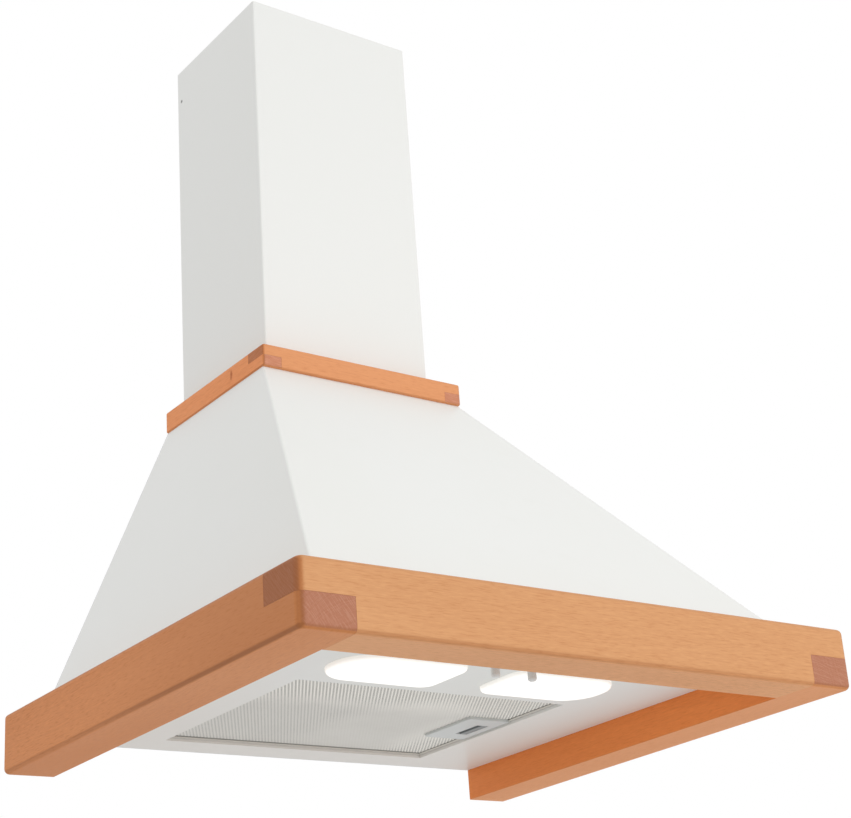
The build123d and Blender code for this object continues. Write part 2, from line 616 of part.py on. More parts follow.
def lamp(hand, side):
    """One lamp: opal lens dropped through the panel, reflector on its rim, holder and candle bulb."""
    lens = extrude(lens_outline(hand, 0), LENS_DROP + SHEET + TINY)
    lens = Pos(0, 0, PANEL_Z - LENS_DROP) * lens
    lens = fillet(lens.edges().group_by(Axis.Z)[0], LENS_ROUND)
    floor = PANEL_Z - LENS_DROP + LENS_WALL
    hollow = Pos(0, 0, floor) * extrude(lens_outline(hand, -LENS_WALL), REFLECTOR_HEIGHT)
    hollow = fillet(hollow.edges().group_by(Axis.Z)[0], LENS_ROUND - LENS_WALL)
    rim = Pos(0, 0, PANEL_TOP) * extrude(lens_outline(hand, LENS_RIM), LENS_RIM_THICK)
    lens = (lens + rim) - hollow

    base = PANEL_TOP + LENS_RIM_THICK
    reflector = Pos(0, 0, base) * extrude(lens_outline(hand, REFLECTOR_SHEET), REFLECTOR_HEIGHT)
    reflector += Pos(0, 0, base) * extrude(lens_outline(hand, LENS_RIM), REFLECTOR_SHEET)
    reflector -= Pos(0, 0, base - OVERCUT) * extrude(
        lens_outline(hand, 0), OVERCUT + REFLECTOR_HEIGHT - REFLECTOR_SHEET)

    y = -LAMP_FROM_WALL - LAMP_DEPTH / 2
    z = base + REFLECTOR_HEIGHT / 2
    start = hand * LAMP_INNER_X
    along = (hand, 0, 0)
    holder = rod(start, y, z, HOLDER_R, HOLDER_LENGTH, along)
    seat = start + hand * (HOLDER_LENGTH - BULB_BASE_LENGTH)
    holder -= rod(seat, y, z, BULB_BASE_R + RUN_GAP, HOLDER_LENGTH, along)

    # candle bulb: straight base, a swelling belly and an elliptical point
    shoulder = BULB_BASE_LENGTH + SLIP_GAP
    belly = BULB_BASE_LENGTH + BULB_BELLY
    tip = BULB_BASE_LENGTH + BULB_GLASS_LENGTH
    profile = make_face([
        Line((0, 0), (0, BULB_BASE_R)), Line((0, BULB_BASE_R), (shoulder, BULB_BASE_R)),
        Line((shoulder, BULB_BASE_R), (shoulder, BULB_NECK_R)),
        TangentArc((belly, BULB_R), (shoulder, BULB_NECK_R), tangent=(-1, 0)),
        EllipticalCenterArc((belly, 0), tip - belly, BULB_R, 0, arc_size=90), Line((tip, 0), (0, 0))])
    bulb = revolve(profile, Axis.X)
    if hand < 0:
        bulb = Rot(0, 0, 180) * bulb
    bulb = Pos(seat + hand * RUN_GAP, y, z) * bulb
    return {"lamp_lens_" + side: lens, "lamp_reflector_" + side: reflector,
            "lamp_holder_" + side: holder, "lamp_bulb_" + side: bulb}


def scroll_outline(grow, top):
    """The scroll's outline in the YZ plane, from the tongue round the spiral and up to the outlet.

    Three quarter arcs whose centres step round a small square, so each meets the next in line, then a
    straight back wall. The outline is drawn outwards by the amount given.
    """
    side = SCROLL_STEP / 2
    centres = ((-side, -side), (side, -side), (side, side))
    radii = [SCROLL_START_R + SCROLL_STEP * turn + grow for turn in range(3)]
    edges = []
    for (u, v), radius, start in zip(centres, radii, (90, 180, 270)):
        edges.append(CenterArc((u, v), radius, start, 90))
    back = side + radii[2]
    tongue = SCROLL_START_R - side + grow
    edges.append(Line((back, side), (back, top)))
    edges.append(Line((back, top), (-grow, top)))
    edges.append(Line((-grow, top), (-grow, tongue)))
    edges.append(Line((-grow, tongue), (-side, tongue)))
    face = make_face(edges)
    corner = face.vertices().filter_by(lambda p: hypot(p.X + grow, p.Y - tongue) < TINY)
    return fillet(corner, TONGUE_ROUND - grow)


def scroll_prism(grow, x0, x1, top):
    """The scroll's outline as a slab between two X planes."""
    plane = Plane(origin=(x0, FAN_Y, FAN_Z), x_dir=(0, 1, 0), z_dir=(1, 0, 0))
    return extrude(plane * scroll_outline(grow, top - FAN_Z), x1 - x0)


def seam_bolt_places():
    """Three bolts round the scroll's seam flange, one at the middle of each arc."""
    side = SCROLL_STEP / 2
    reach = SCROLL_WALL + SEAM_FLANGE / 2
    places = []
    for turn, (u, v) in enumerate(((-side, -side), (side, -side), (side, side))):
        radius = SCROLL_START_R + SCROLL_STEP * turn + reach
        angle = radians(135 + 90 * turn)
        places.append((FAN_Y + u + radius * cos(angle), FAN_Z + v + radius * sin(angle)))
    return places


def blower_housing():
    """Scroll housing in two halves, with a bell-mouthed inlet in each side and a flanged outlet."""
    front, back = outlet_span()
    reach = SCROLL_HALF + SCROLL_WALL
    bell_edge = BELL_R + BELL_ROUND
    halves = {}
    for hand, side in ((-1, "left"), (1, "right")):
        low, high = sorted((0, hand * reach))
        half = scroll_prism(SCROLL_WALL, low, high, SCROLL_TOP)
        low, high = sorted((0, hand * SEAM_THICK))
        seam = scroll_prism(SCROLL_WALL, low, high, SCROLL_TOP)
        for y, z in seam_bolt_places():
            seam += rod(low, y, z, SEAM_FLANGE / 2 + SCROLL_WALL, SEAM_THICK, (1, 0, 0))
        half += seam
        low, high = sorted((0, hand * outlet_half()))
        half += block(low, high, front - SCROLL_WALL - OUTLET_FLANGE, back + SCROLL_WALL + OUTLET_FLANGE,
                      SCROLL_TOP - OUTLET_THICK, SCROLL_TOP)
        low, high = sorted((-hand * OVERCUT, hand * SCROLL_HALF))
        half -= scroll_prism(0, low, high, SCROLL_TOP + OVERCUT)
        half -= rod(0, FAN_Y, FAN_Z, bell_edge, reach + OVERCUT, (hand, 0, 0))
        half += bell_mouth(hand)
        drills = [rod(-reach, y, z, BOLT_R + SCREW_GAP, 2 * reach, (1, 0, 0)) for y, z in seam_bolt_places()]
        drills += [rod(x, y, SCROLL_TOP - OVERCUT, BOLT_R + SCREW_GAP, 2 * OVERCUT)
                   for x, y in collar_bolt_places()]
        if hand > 0:
            drills += [rod(SCROLL_HALF - OVERCUT, y, z, SCREW_R + SCREW_GAP, 2 * OVERCUT, (1, 0, 0))
                       for y, z in arm_screw_places()]
        halves["blower_housing_" + side] = half - (Part() + drills)
    return halves


def bell_mouth(hand):
    """The rounded ring that leads air into the wheel, turned about the fan's axis."""
    outer = BELL_ROUND
    inner = BELL_ROUND - SCROLL_WALL
    centre = (SCROLL_HALF + SCROLL_WALL - BELL_ROUND, BELL_R + BELL_ROUND)
    section = make_face([
        CenterArc(centre, outer, 270, 90), CenterArc(centre, inner, 270, 90),
        Line((centre[0], centre[1] - outer), (centre[0], centre[1] - inner)),
        Line((centre[0] + outer, centre[1]), (centre[0] + inner, centre[1]))])
    ring = revolve(section, Axis.X)
    if hand < 0:
        ring = Rot(0, 0, 180) * ring
    return Pos(0, FAN_Y, FAN_Z) * ring


def arm_screw_places():
    """Where the motor bracket's three feet are screwed to the housing's right side."""
    places = []
    for angle in ARM_ANGLES:
        places.append((FAN_Y + ARM_SCREW_AT * cos(radians(angle)), FAN_Z + ARM_SCREW_AT * sin(radians(angle))))
    return places


def impeller():
    """Double-width wheel: forward-curved blades on a middle disc, with a ring at each end and a hub."""
    def on_wheel(radius, degrees):
        return radius * cos(radians(degrees)), radius * sin(radians(degrees))

    middle = (BLADE_INNER_R + BLADE_OUTER_R) / 2
    thick = degrees(BLADE_SHEET / BLADE_INNER_R)
    concave = [on_wheel(BLADE_INNER_R, 0), on_wheel(middle, BLADE_BELLY), on_wheel(BLADE_OUTER_R, BLADE_SWEEP)]
    convex = [on_wheel(BLADE_INNER_R, -thick), on_wheel(middle, BLADE_BELLY - thick),
              on_wheel(BLADE_OUTER_R, BLADE_SWEEP - thick)]
    section = make_face([ThreePointArc(*concave), Line(concave[2], convex[2]),
                         ThreePointArc(*reversed(convex)), Line(convex[0], concave[0])])
    wheel_plane = Plane(origin=(-FAN_HALF, 0, 0), x_dir=(0, 1, 0), z_dir=(1, 0, 0))
    blade = extrude(wheel_plane * section, 2 * FAN_HALF)
    blades = [Rot(360 / BLADE_COUNT * turn, 0, 0) * blade for turn in range(BLADE_COUNT)]
    disc = rod(-DISC_THICK / 2, 0, 0, BLADE_OUTER_R - BLADE_SHEET, DISC_THICK, (1, 0, 0))
    rings = []
    for x in (-FAN_HALF - TINY, FAN_HALF - RING_THICK + TINY):
        ring = rod(x, 0, 0, BLADE_OUTER_R + BLADE_SHEET, RING_THICK, (1, 0, 0))
        rings.append(ring - rod(x - OVERCUT, 0, 0, BLADE_OUTER_R - RING_R, RING_THICK + 2 * OVERCUT, (1, 0, 0)))
    wheel = disc + blades + rings + rod(-HUB_HALF, 0, 0, HUB_R, 2 * HUB_HALF, (1, 0, 0))
    wheel -= rod(-HUB_HALF - OVERCUT, 0, 0, SHAFT_R + TINY, 2 * (HUB_HALF + OVERCUT), (1, 0, 0))
    return Pos(0, FAN_Y, FAN_Z) * wheel


def drive():
    """Motor inside the wheel's right half, its shaft and nut, and the three-armed bracket that holds it."""
    face = SCROLL_HALF + SCROLL_WALL
    start = face - MOTOR_LENGTH
    cap = (MOTOR_LENGTH - MOTOR_STACK) / 2
    motor = rod(start, 0, 0, MOTOR_CAP_R, MOTOR_LENGTH, (1, 0, 0))
    motor = fillet(motor.edges().group_by(Axis.X)[0], MOTOR_ROUND)
    motor += rod(start + cap, 0, 0, MOTOR_R, MOTOR_STACK, (1, 0, 0))
    motor += rod(face, 0, 0, MOTOR_BOSS_R, MOTOR_BOSS_LENGTH, (1, 0, 0))
    bore_end = face + MOTOR_BOSS_LENGTH - SCROLL_WALL
    motor -= rod(start - OVERCUT, 0, 0, SHAFT_R + RUN_GAP, bore_end - start + OVERCUT, (1, 0, 0))

    shaft_end = bore_end - SLIP_GAP
    shaft = rod(-SHAFT_OUTSIDE, 0, 0, SHAFT_R, shaft_end + SHAFT_OUTSIDE, (1, 0, 0))
    nut_plane = Plane(origin=(-HUB_HALF - NUT_THICK, 0, 0), z_dir=(1, 0, 0))
    nut = extrude(nut_plane * RegularPolygon(NUT_R, 6), NUT_THICK)
    nut -= rod(-HUB_HALF - NUT_THICK - OVERCUT, 0, 0, SHAFT_R + TINY, NUT_THICK + 2 * OVERCUT, (1, 0, 0))

    bracket = rod(face, 0, 0, MOTOR_CAP_R, ARM_SHEET, (1, 0, 0))
    for angle in ARM_ANGLES:
        arm = block(face, face + ARM_SHEET, 0, ARM_REACH, -ARM_WIDTH / 2, ARM_WIDTH / 2)
        bracket += Rot(angle, 0, 0) * arm
    bracket -= rod(face - OVERCUT, 0, 0, MOTOR_BOSS_R + SLIP_GAP, 4 * OVERCUT, (1, 0, 0))
    place = Pos(0, FAN_Y, FAN_Z)
    bracket = place * bracket - (Part() + [
        rod(face - OVERCUT, y, z, SCREW_R + SCREW_GAP, 2 * OVERCUT, (1, 0, 0)) for y, z in arm_screw_places()])
    screws = Part() + [
        rod(face + ARM_SHEET, y, z, SCREW_HEAD_R, SCREW_HEAD, (1, 0, 0))
        + rod(SCROLL_HALF - SCREW_HEAD, y, z, SCREW_R, face + ARM_SHEET + SCREW_HEAD - SCROLL_HALF, (1, 0, 0))
        for y, z in arm_screw_places()]
    return {"motor": place * motor, "motor_shaft": place * shaft, "fan_nut": place * nut,
            "motor_bracket": bracket, "bracket_screws": screws}


def outlet():
    """Round outlet collar over its flange, with two half-round flaps on one hinge pin across it."""
    front, back = outlet_span()
    half = outlet_half()
    plate = block(-half, half, front - SCROLL_WALL - OUTLET_FLANGE, back + SCROLL_WALL + OUTLET_FLANGE,
                  SCROLL_TOP, PLATE_Z)
    neck_top = CANOPY_TOP + SLIP_GAP
    plate += rod(0, -DUCT_FROM_WALL, PLATE_Z - TINY, COLLAR_R - COLLAR_UNDERCUT, neck_top - PLATE_Z + 2 * TINY)
    plate += rod(0, -DUCT_FROM_WALL, neck_top, COLLAR_R, CANOPY_TOP + COLLAR_HEIGHT - neck_top)
    plate -= rod(0, -DUCT_FROM_WALL, SCROLL_TOP - OVERCUT, COLLAR_BORE, COLLAR_HEIGHT + 3 * OVERCUT)
    stop_top = FLAP_Z - FLAP_SHEET / 2 - SLIP_GAP
    stop = rod(0, -DUCT_FROM_WALL, stop_top - STOP_THICK, COLLAR_BORE + COLLAR_WALL / 2, STOP_THICK)
    stop -= rod(0, -DUCT_FROM_WALL, stop_top - OVERCUT, COLLAR_BORE - STOP_REACH, 2 * OVERCUT)
    stop -= block(-KNUCKLE_R - SLIP_GAP, KNUCKLE_R + SLIP_GAP, -2 * DUCT_FROM_WALL, 0, stop_top - OVERCUT,
                  stop_top + OVERCUT)
    seat = COLLAR_BORE + COLLAR_WALL / 2
    socket = rod(0, -DUCT_FROM_WALL - seat, FLAP_Z, PIN_R + RUN_GAP, 2 * seat, (0, 1, 0))
    collar = plate + stop - socket - (Part() + [
        rod(x, y, SCROLL_TOP - OVERCUT, BOLT_R + SCREW_GAP, 2 * OVERCUT) for x, y in collar_bolt_places()])
    pin = rod(0, -DUCT_FROM_WALL - seat + RUN_GAP, FLAP_Z, PIN_R, 2 * (seat - RUN_GAP), (0, 1, 0))

    # flaps: half discs with knuckles that take turns along the pin
    nodes = {"outlet_collar": collar, "flap_pin": pin}
    pitch = KNUCKLE_LENGTH + KNUCKLE_GAP
    places = [(2 * turn + 1 - KNUCKLE_COUNT) * pitch for turn in range(KNUCKLE_COUNT)]
    for hand, side in ((-1, "left"), (1, "right")):
        disc = rod(0, 0, -FLAP_SHEET / 2, COLLAR_BORE - FLAP_GAP, FLAP_SHEET)
        low, high = sorted((hand * FLAP_EDGE, hand * COLLAR_R))
        flap = disc & block(low, high, -COLLAR_R, COLLAR_R, -OVERCUT, OVERCUT)
        own = places[0::2] if hand < 0 else places[1::2]
        for y in own:
            flap += rod(0, y - KNUCKLE_LENGTH / 2, 0, KNUCKLE_R, KNUCKLE_LENGTH, (0, 1, 0))
            low, high = sorted((0, hand * (FLAP_EDGE + FLAP_SHEET)))
            flap += block(low, high, y - KNUCKLE_LENGTH / 2, y + KNUCKLE_LENGTH / 2,
                          -FLAP_SHEET / 2, FLAP_SHEET / 2)
        flap -= rod(0, -COLLAR_R, 0, PIN_R + RUN_GAP, 2 * COLLAR_R, (0, 1, 0))
        nodes["flap_" + side] = Pos(0, -DUCT_FROM_WALL, FLAP_Z) * flap
    return nodes


def chimney():
    """One-piece chimney cover with a return at the wall, and the wall bracket inside its top."""
    outer = block(-CHIMNEY_HALF, CHIMNEY_HALF, -CHIMNEY_DEPTH, 0, CANOPY_TOP, TOP_HEIGHT)
    outer = fillet(outer.edges().filter_by(Axis.Z).group_by(Axis.Y)[0], CHIMNEY_BEND)
    inner = block(SHEET - CHIMNEY_HALF, CHIMNEY_HALF - SHEET, SHEET - CHIMNEY_DEPTH, OVERCUT,
                  CANOPY_TOP - OVERCUT, TOP_HEIGHT + OVERCUT)
    inner = fillet(inner.edges().filter_by(Axis.Z).group_by(Axis.Y)[0], CHIMNEY_BEND - SHEET)
    cover = outer - inner
    bracket_low = TOP_HEIGHT - CHIMNEY_HOLE_FROM_TOP - BRACKET_HEIGHT / 2
    for hand in (-1, 1):
        low, high = sorted((hand * CHIMNEY_HALF, hand * (CHIMNEY_HALF - CHIMNEY_RETURN)))
        cover += block(low, high, -SHEET, 0, CANOPY_TOP, bracket_low - OVERCUT)
    hole = (CHIMNEY_HALF, -CHIMNEY_HOLE_FROM_WALL, TOP_HEIGHT - CHIMNEY_HOLE_FROM_TOP)
    cover -= rod(-hole[0] - OVERCUT, hole[1], hole[2], CHIMNEY_HOLE_R, CHIMNEY_WIDTH + 2 * OVERCUT, (1, 0, 0))
    half = CHIMNEY_HALF - SHEET - SLIP_GAP
    bracket = block(-half, half, -BRACKET_EAR, 0, bracket_low, bracket_low + BRACKET_HEIGHT)
    bracket -= block(BRACKET_SHEET - half, half - BRACKET_SHEET, -BRACKET_EAR - OVERCUT, -BRACKET_SHEET,
                     bracket_low - OVERCUT, bracket_low + BRACKET_HEIGHT + OVERCUT)
    bracket -= rod(-hole[0], hole[1], hole[2], BRACKET_TAP_R, CHIMNEY_WIDTH, (1, 0, 0))
    for hand in (-1, 1):
        spot = hand * BRACKET_HOLE_SPACING / 2
        bracket -= rod(spot, -OVERCUT, hole[2], BRACKET_HOLE_R, 2 * OVERCUT, (0, 1, 0))
    return {"chimney_cover": cover, "chimney_bracket": bracket}


def wiring():
    """Terminal box and lid, capacitor and clip on the back panel, and the gland in the canopy's top."""
    wall = -SHEET
    left = TERMINAL_X - TERMINAL_WIDTH / 2
    right = TERMINAL_X + TERMINAL_WIDTH / 2
    low = TERMINAL_Z - TERMINAL_HEIGHT / 2
    high = TERMINAL_Z + TERMINAL_HEIGHT / 2
    box = block(left, right, wall - TERMINAL_DEPTH, wall, low, high)
    box -= block(left + TERMINAL_WALL, right - TERMINAL_WALL, wall - TERMINAL_DEPTH - OVERCUT,
                 wall - TERMINAL_WALL, low + TERMINAL_WALL, high - TERMINAL_WALL)
    lid = block(left, right, wall - TERMINAL_DEPTH - TERMINAL_WALL, wall - TERMINAL_DEPTH, low, high)
    lid = fillet(lid.edges().filter_by(Axis.Y), TERMINAL_WALL)
    y = wall - CAPACITOR_R - 2 * CLIP_SHEET
    bottom = CAPACITOR_Z - CAPACITOR_LENGTH / 2
    can = rod(CAPACITOR_X, y, bottom, CAPACITOR_R, CAPACITOR_LENGTH)
    can = fillet(can.edges().group_by(Axis.Z)[-1], CLIP_SHEET)
    ring_r = CAPACITOR_R + SLIP_GAP
    middle = CAPACITOR_Z - CLIP_HEIGHT / 2
    clip = rod(CAPACITOR_X, y, middle, ring_r + CLIP_SHEET, CLIP_HEIGHT)
    clip += block(CAPACITOR_X - ring_r - CLIP_FOOT, CAPACITOR_X + ring_r + CLIP_FOOT, wall - CLIP_SHEET, wall,
                  middle, middle + CLIP_HEIGHT)
    clip -= rod(CAPACITOR_X, y, middle - OVERCUT, ring_r, CLIP_HEIGHT + 2 * OVERCUT)
    gap = CAPACITOR_R / 2
    clip -= block(CAPACITOR_X - gap, CAPACITOR_X + gap, y - 2 * CAPACITOR_R, y, middle - OVERCUT,
                  middle + CLIP_HEIGHT + OVERCUT)
    gland = rod(GLAND_X, -GLAND_FROM_WALL, PLATE_Z - GLAND_LIP, GLAND_R, GLAND_LIP)
    gland += rod(GLAND_X, -GLAND_FROM_WALL, CANOPY_TOP, GLAND_R, GLAND_LIP)
    gland += rod(GLAND_X, -GLAND_FROM_WALL, PLATE_Z - GLAND_LIP, GLAND_NECK_R, 2 * GLAND_LIP)
    gland -= rod(GLAND_X, -GLAND_FROM_WALL, PLATE_Z - OVERCUT, GLAND_BORE_R, 2 * OVERCUT)
    return {"terminal_box": box, "terminal_lid": lid, "capacitor": can, "capacitor_clip": clip,
            "cable_gland": gland}


def fasteners():
    """The screws and bolts that hold the frame, the trim, the collar and the housing, as groups."""
    frame = Part() + [screw(x, y, FLANGE_TOP, False, SCREW_GRIP) for x, y in frame_screw_places()]
    trims = Part() + [screw(x, y, PLATE_Z, True, SCREW_GRIP) for x, y in trim_screw_places()]
    grip = SHEET + COLLAR_PLATE + OUTLET_THICK
    collar = Part() + [bolt(x, y, CANOPY_TOP, (0, 0, -1), grip) for x, y in collar_bolt_places()]
    seam = Part() + [bolt(-SEAM_THICK, y, z, (1, 0, 0), 2 * SEAM_THICK) for y, z in seam_bolt_places()]
    return {"frame_screws": frame, "trim_screws": trims, "collar_bolts": collar, "seam_bolts": seam}


def hood():
    """Every piece of the hood, by name."""
    nodes = {**wooden_frame(), **trim(), "canopy": canopy(), "back_panel": back_panel(),
             "bottom_panel": bottom_panel(), **chimney(), **grease_filter(), **controls()}
    for hand, side in ((-1, "left"), (1, "right")):
        nodes.update(lamp(hand, side))
    nodes.update(blower_housing())
    nodes["impeller"] = impeller()
    nodes.update({**drive(), **outlet(), **wiring(), **fasteners()})
    return nodes


os.makedirs("parts", exist_ok=True)
for name, shape in hood().items():
    export_step(Pos(0, 0, -HOOK_HEIGHT) * shape, "parts/" + name + ".step")
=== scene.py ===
"""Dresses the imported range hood: beech frame and trim, painted sheet, grease filter, lamps and sliders."""

import math

import bpy
from bpy.props import FloatProperty, FloatVectorProperty, PointerProperty
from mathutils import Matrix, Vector


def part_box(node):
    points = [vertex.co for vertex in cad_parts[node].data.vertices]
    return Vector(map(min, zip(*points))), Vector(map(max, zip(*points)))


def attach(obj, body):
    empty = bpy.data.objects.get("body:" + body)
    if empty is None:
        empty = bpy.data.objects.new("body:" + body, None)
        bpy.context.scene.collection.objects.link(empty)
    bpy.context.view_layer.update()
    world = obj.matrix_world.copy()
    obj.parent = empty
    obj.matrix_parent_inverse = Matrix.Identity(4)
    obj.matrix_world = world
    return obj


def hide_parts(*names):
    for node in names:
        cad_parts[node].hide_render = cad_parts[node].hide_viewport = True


bl_info = {
    "name": "Range Hood Dressing",
    "version": (1, 0, 0),
    "blender": (4, 5, 0),
    "location": "3D View > Sidebar > Hood",
    "description": "Models a range hood's wood, filter, lamps and controls, and gives each piece its finish",
    "category": "Object",
}

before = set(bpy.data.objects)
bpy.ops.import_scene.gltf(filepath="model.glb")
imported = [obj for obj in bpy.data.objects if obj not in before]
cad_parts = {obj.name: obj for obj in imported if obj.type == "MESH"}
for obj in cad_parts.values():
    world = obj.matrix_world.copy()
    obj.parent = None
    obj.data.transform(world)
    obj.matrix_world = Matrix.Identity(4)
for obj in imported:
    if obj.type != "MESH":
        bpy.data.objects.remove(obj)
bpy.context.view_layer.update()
HOOD = "hood"

# Points closer than NEAR count as one. A cutter reaches PAST or JUST_PAST what it cuts.
NEAR = 2e-5
PAST = 0.01
JUST_PAST = 0.001

# Added before FRACT, so that it never works on a value below zero
ABOVE_ZERO = 500

# The beech's rings, where the tree's middle lies for boards along X and Y, and the knot in the left strip
RINGS_PER_METRE = 520
HEART_ASIDE = {"X": 0.33, "Y": -0.2}
HEART_DROP = 0.42
KNOT_SHAPE = (1, 0.9, 0.42)
KNOT_SHARE = 0.685
KNOT_RISE = 0.002
KNOT_TONE = (0.46, 0.10, 0.012)

# Fine patterns of the motor's stack and the lenses
SHEETS_PER_METRE = 1600
PRISMS_PER_METRE = 900

# Where the filter's calm zone lies, as shares of its width and depth, and how narrow it is each way
CALM_PLACE = (0.65, 0.35)
CALM_NARROW = (5.0, 2.4)

# Small pieces: thickness of the latch's plate and tongue, how far joined blocks overlap, and their edges
LATCH_SHEET = 0.0022
LATCH_BITE = 0.001
NECK_BITE = 0.0002
EDGE_ROUND = 0.0005
THIN_EDGE_ROUND = 0.0003
PEG_EDGE_ROUND = 0.0004

# Tones of single hidden pieces
REFLECTOR = (0.75, 0.75, 0.74)
HOLDER = (0.78, 0.76, 0.70)
CAPACITOR = (0.68, 0.68, 0.66)

# Stage
FLOOR_SIZE = 20
FLOOR_DROP = 3.4
LIGHTS_AIM = (0, -0.25, 0)
CAMERA_PLACE = (-1.0166, -1.6832, -0.6828)
CAMERA_DEGREES = (112.061, 4.739, -37.246)


# Sizes and colours that a user would change

def length(name, text, default):
    """A length property in metres."""
    return FloatProperty(name=name, description=text, default=default, min=0, unit="LENGTH", precision=4)


def colour(name, text, default):
    """A colour property in linear values."""
    return FloatVectorProperty(name=name, description=text, default=default, subtype="COLOR", min=0, max=1)


class HoodSizes(bpy.types.PropertyGroup):
    """Sizes of the modelled pieces."""

    rail_corner: length("Rail corner", "Radius of the frame's upright front corners", 0.008)
    rail_round: length("Rail rounding", "Radius along the frame's outer edges", 0.005)
    rail_inner: length("Rail inner rounding", "Radius along the frame's inner edges", 0.001)
    trim_corner: length("Trim corner", "Radius of the trim's upright front corners", 0.003)
    trim_round: length("Trim rounding", "Radius along the trim's outer edges", 0.002)
    seam: length("Joint seam", "Hairline between two lapped rails", 0.00016)
    cell_width: length("Cell width", "Width of a lozenge of the filter's expanded sheet", 0.00373)
    cell_length: length("Cell length", "Length of a lozenge, front to back", 0.0062)
    cell_relief: length("Cell relief", "How far the strands between the lozenges stand out", 0.0007)
    mesh_sheet: length("Mesh sheet", "Thickness of the expanded sheet", 0.0005)
    handle_wall: length("Handle wall", "Thickness of the handle's walls", 0.0015)
    handle_round: length("Handle corner", "Radius of the handle's inner corners", 0.003)
    tab_from_edge: length("Tab place", "From the handle's edge to the latch's tab", 0.011)
    tab_width: length("Tab width", "Width of the latch's tab", 0.008)
    tab_length: length("Tab length", "Length of the latch's tab", 0.038)
    latch_travel: length("Latch travel", "How far the latch slides", 0.006)
    nose_width: length("Nose width", "Width of the latch's nose", 0.016)
    gap: length("Gap", "Play between two pieces that slide", 0.0003)
    lens_rim: length("Lens rim", "Width of the lens's rim above the panel", 0.0035)
    lens_rim_thick: length("Lens rim thickness", "Thickness of the lens's rim", 0.0015)
    lens_wall: length("Lens wall", "Thickness of the lens", 0.002)
    lens_round: length("Lens rounding", "Radius along the lens's lower edge", 0.004)
    lens_inner: length("Lens inner corner", "Plan radius at the lens's inner end", 0.015)
    lens_outer: length("Lens outer corner", "Plan radius at the lens's outer end", 0.034)
    peg_top: length("Peg top radius", "Radius of a slider's peg under the panel", 0.0034)
    peg_tip: length("Peg tip radius", "Radius of a slider's peg at its tip", 0.0042)
    peg_round: length("Peg rounding", "Radius round the peg's tip", 0.003)
    neck: length("Neck radius", "Radius of a slider's neck in its slot", 0.0025)
    carriage: length("Carriage thickness", "Thickness of the slider's carriage", 0.003)


class HoodColours(bpy.types.PropertyGroup):
    """Colours of the finishes."""

    beech: colour("Beech", "Tone of the front rail", (0.736, 0.364, 0.154))
    # Painted light: the front rail's underside, lit brighter than its front and most at its right end
    beech_under_shading: colour("Beech, underside", "Tone of the front rail's underside", (0.86, 0.41, 0.17))
    beech_under_end_shading: colour("Beech, underside's end", "Its tone at the right end", (1.0, 0.475, 0.195))
    beech_left: colour("Beech, left", "Tone of the left rail", (0.722, 0.299, 0.107))
    # Painted light and shade: the left rail's underside, darker near the wall, and its shaded outer side
    beech_left_under_shading: colour("Beech, left underside", "Tone of its underside", (0.765, 0.29, 0.086))
    beech_left_under_far_shading: colour("Beech, left underside far", "Its tone near the wall", (0.70, 0.228, 0.038))
    beech_left_side_shading: colour("Beech, left side", "Tone of the left rail's outer side", (0.658, 0.242, 0.07))
    beech_right: colour("Beech, right", "Tone of the right rail", (0.889, 0.378, 0.14))
    # Painted light and shade: the right rail's underside and its inner side, shaded a deeper orange
    beech_right_under_shading: colour("Beech, right underside", "Tone of its underside", (0.89, 0.36, 0.122))
    beech_right_side_shading: colour("Beech, right side", "Orange tone of its inner side", (0.917, 0.273, 0.053))
    trim: colour("Trim", "Tone of the small trim", (0.823, 0.351, 0.144))
    # Painted light on the trim's sides that face left
    trim_side_shading: colour("Trim side", "Tone of the trim's left side", (0.93, 0.345, 0.118))
    # Painted shade along the wood's rounded edges
    edge_shade: colour("Painted edge shade", "Tone of the wood's rounded edges", (0.37, 0.122, 0.032))
    end_grain: colour("End grain", "Tone where the beech is cut across", (0.479, 0.19, 0.106))
    # Painted shade: the end grain's tone on faces that point left
    end_grain_shading: colour("End grain, deep", "Its tone on the left side", (0.37, 0.12, 0.035))
    end_ray: colour("End grain rays", "Pale streaks across the end grain", (0.62, 0.32, 0.21))
    paint: colour("White paint", "Powder-coated sheet", (0.88, 0.885, 0.86))
    # Painted shade: the panel darker and warmer near the wall
    paint_shade_at_wall: colour("White paint at the wall", "The panel's tone near the wall", (0.815, 0.775, 0.725))
    zinc: colour("Zinc", "Zinc-plated sheet", (0.56, 0.57, 0.58))
    aluminium: colour("Aluminium", "Sheet of the grease filter", (0.88, 0.85, 0.79))
    handle: colour("Handle", "Plastic of the filter's handle", (0.57, 0.585, 0.57))
    latch: colour("Latch", "Plastic of the filter's latch", (0.215, 0.23, 0.23))
    knob: colour("Slider", "Plastic of the sliders' pegs", (0.74, 0.74, 0.72))
    opal: colour("Opal lens", "Plastic of the lamps' lenses", (0.93, 0.92, 0.88))
    glow: colour("Lamp light", "Colour of the lit lenses", (1.0, 0.985, 0.955))
    box: colour("Box plastic", "Plastic of the control and terminal boxes", (0.022, 0.022, 0.024))
    blower: colour("Blower plastic", "Plastic of the blower housing", (0.035, 0.035, 0.038))
    wheel: colour("Wheel plastic", "Plastic of the fan wheel", (0.075, 0.077, 0.08))
    steel: colour("Steel", "Plain steel of motor and screws", (0.42, 0.42, 0.42))


def sizes():
    return bpy.context.scene.hood_sizes


def colours():
    return bpy.context.scene.hood_colours


def shade(tone, part):
    """The tone times one number, with no channel above 1."""
    return [min(1.0, value * part) for value in tone]


def each(values, parts):
    """Values times parts, one by one."""
    return [value * part for value, part in zip(values, parts)]


# Shader maths

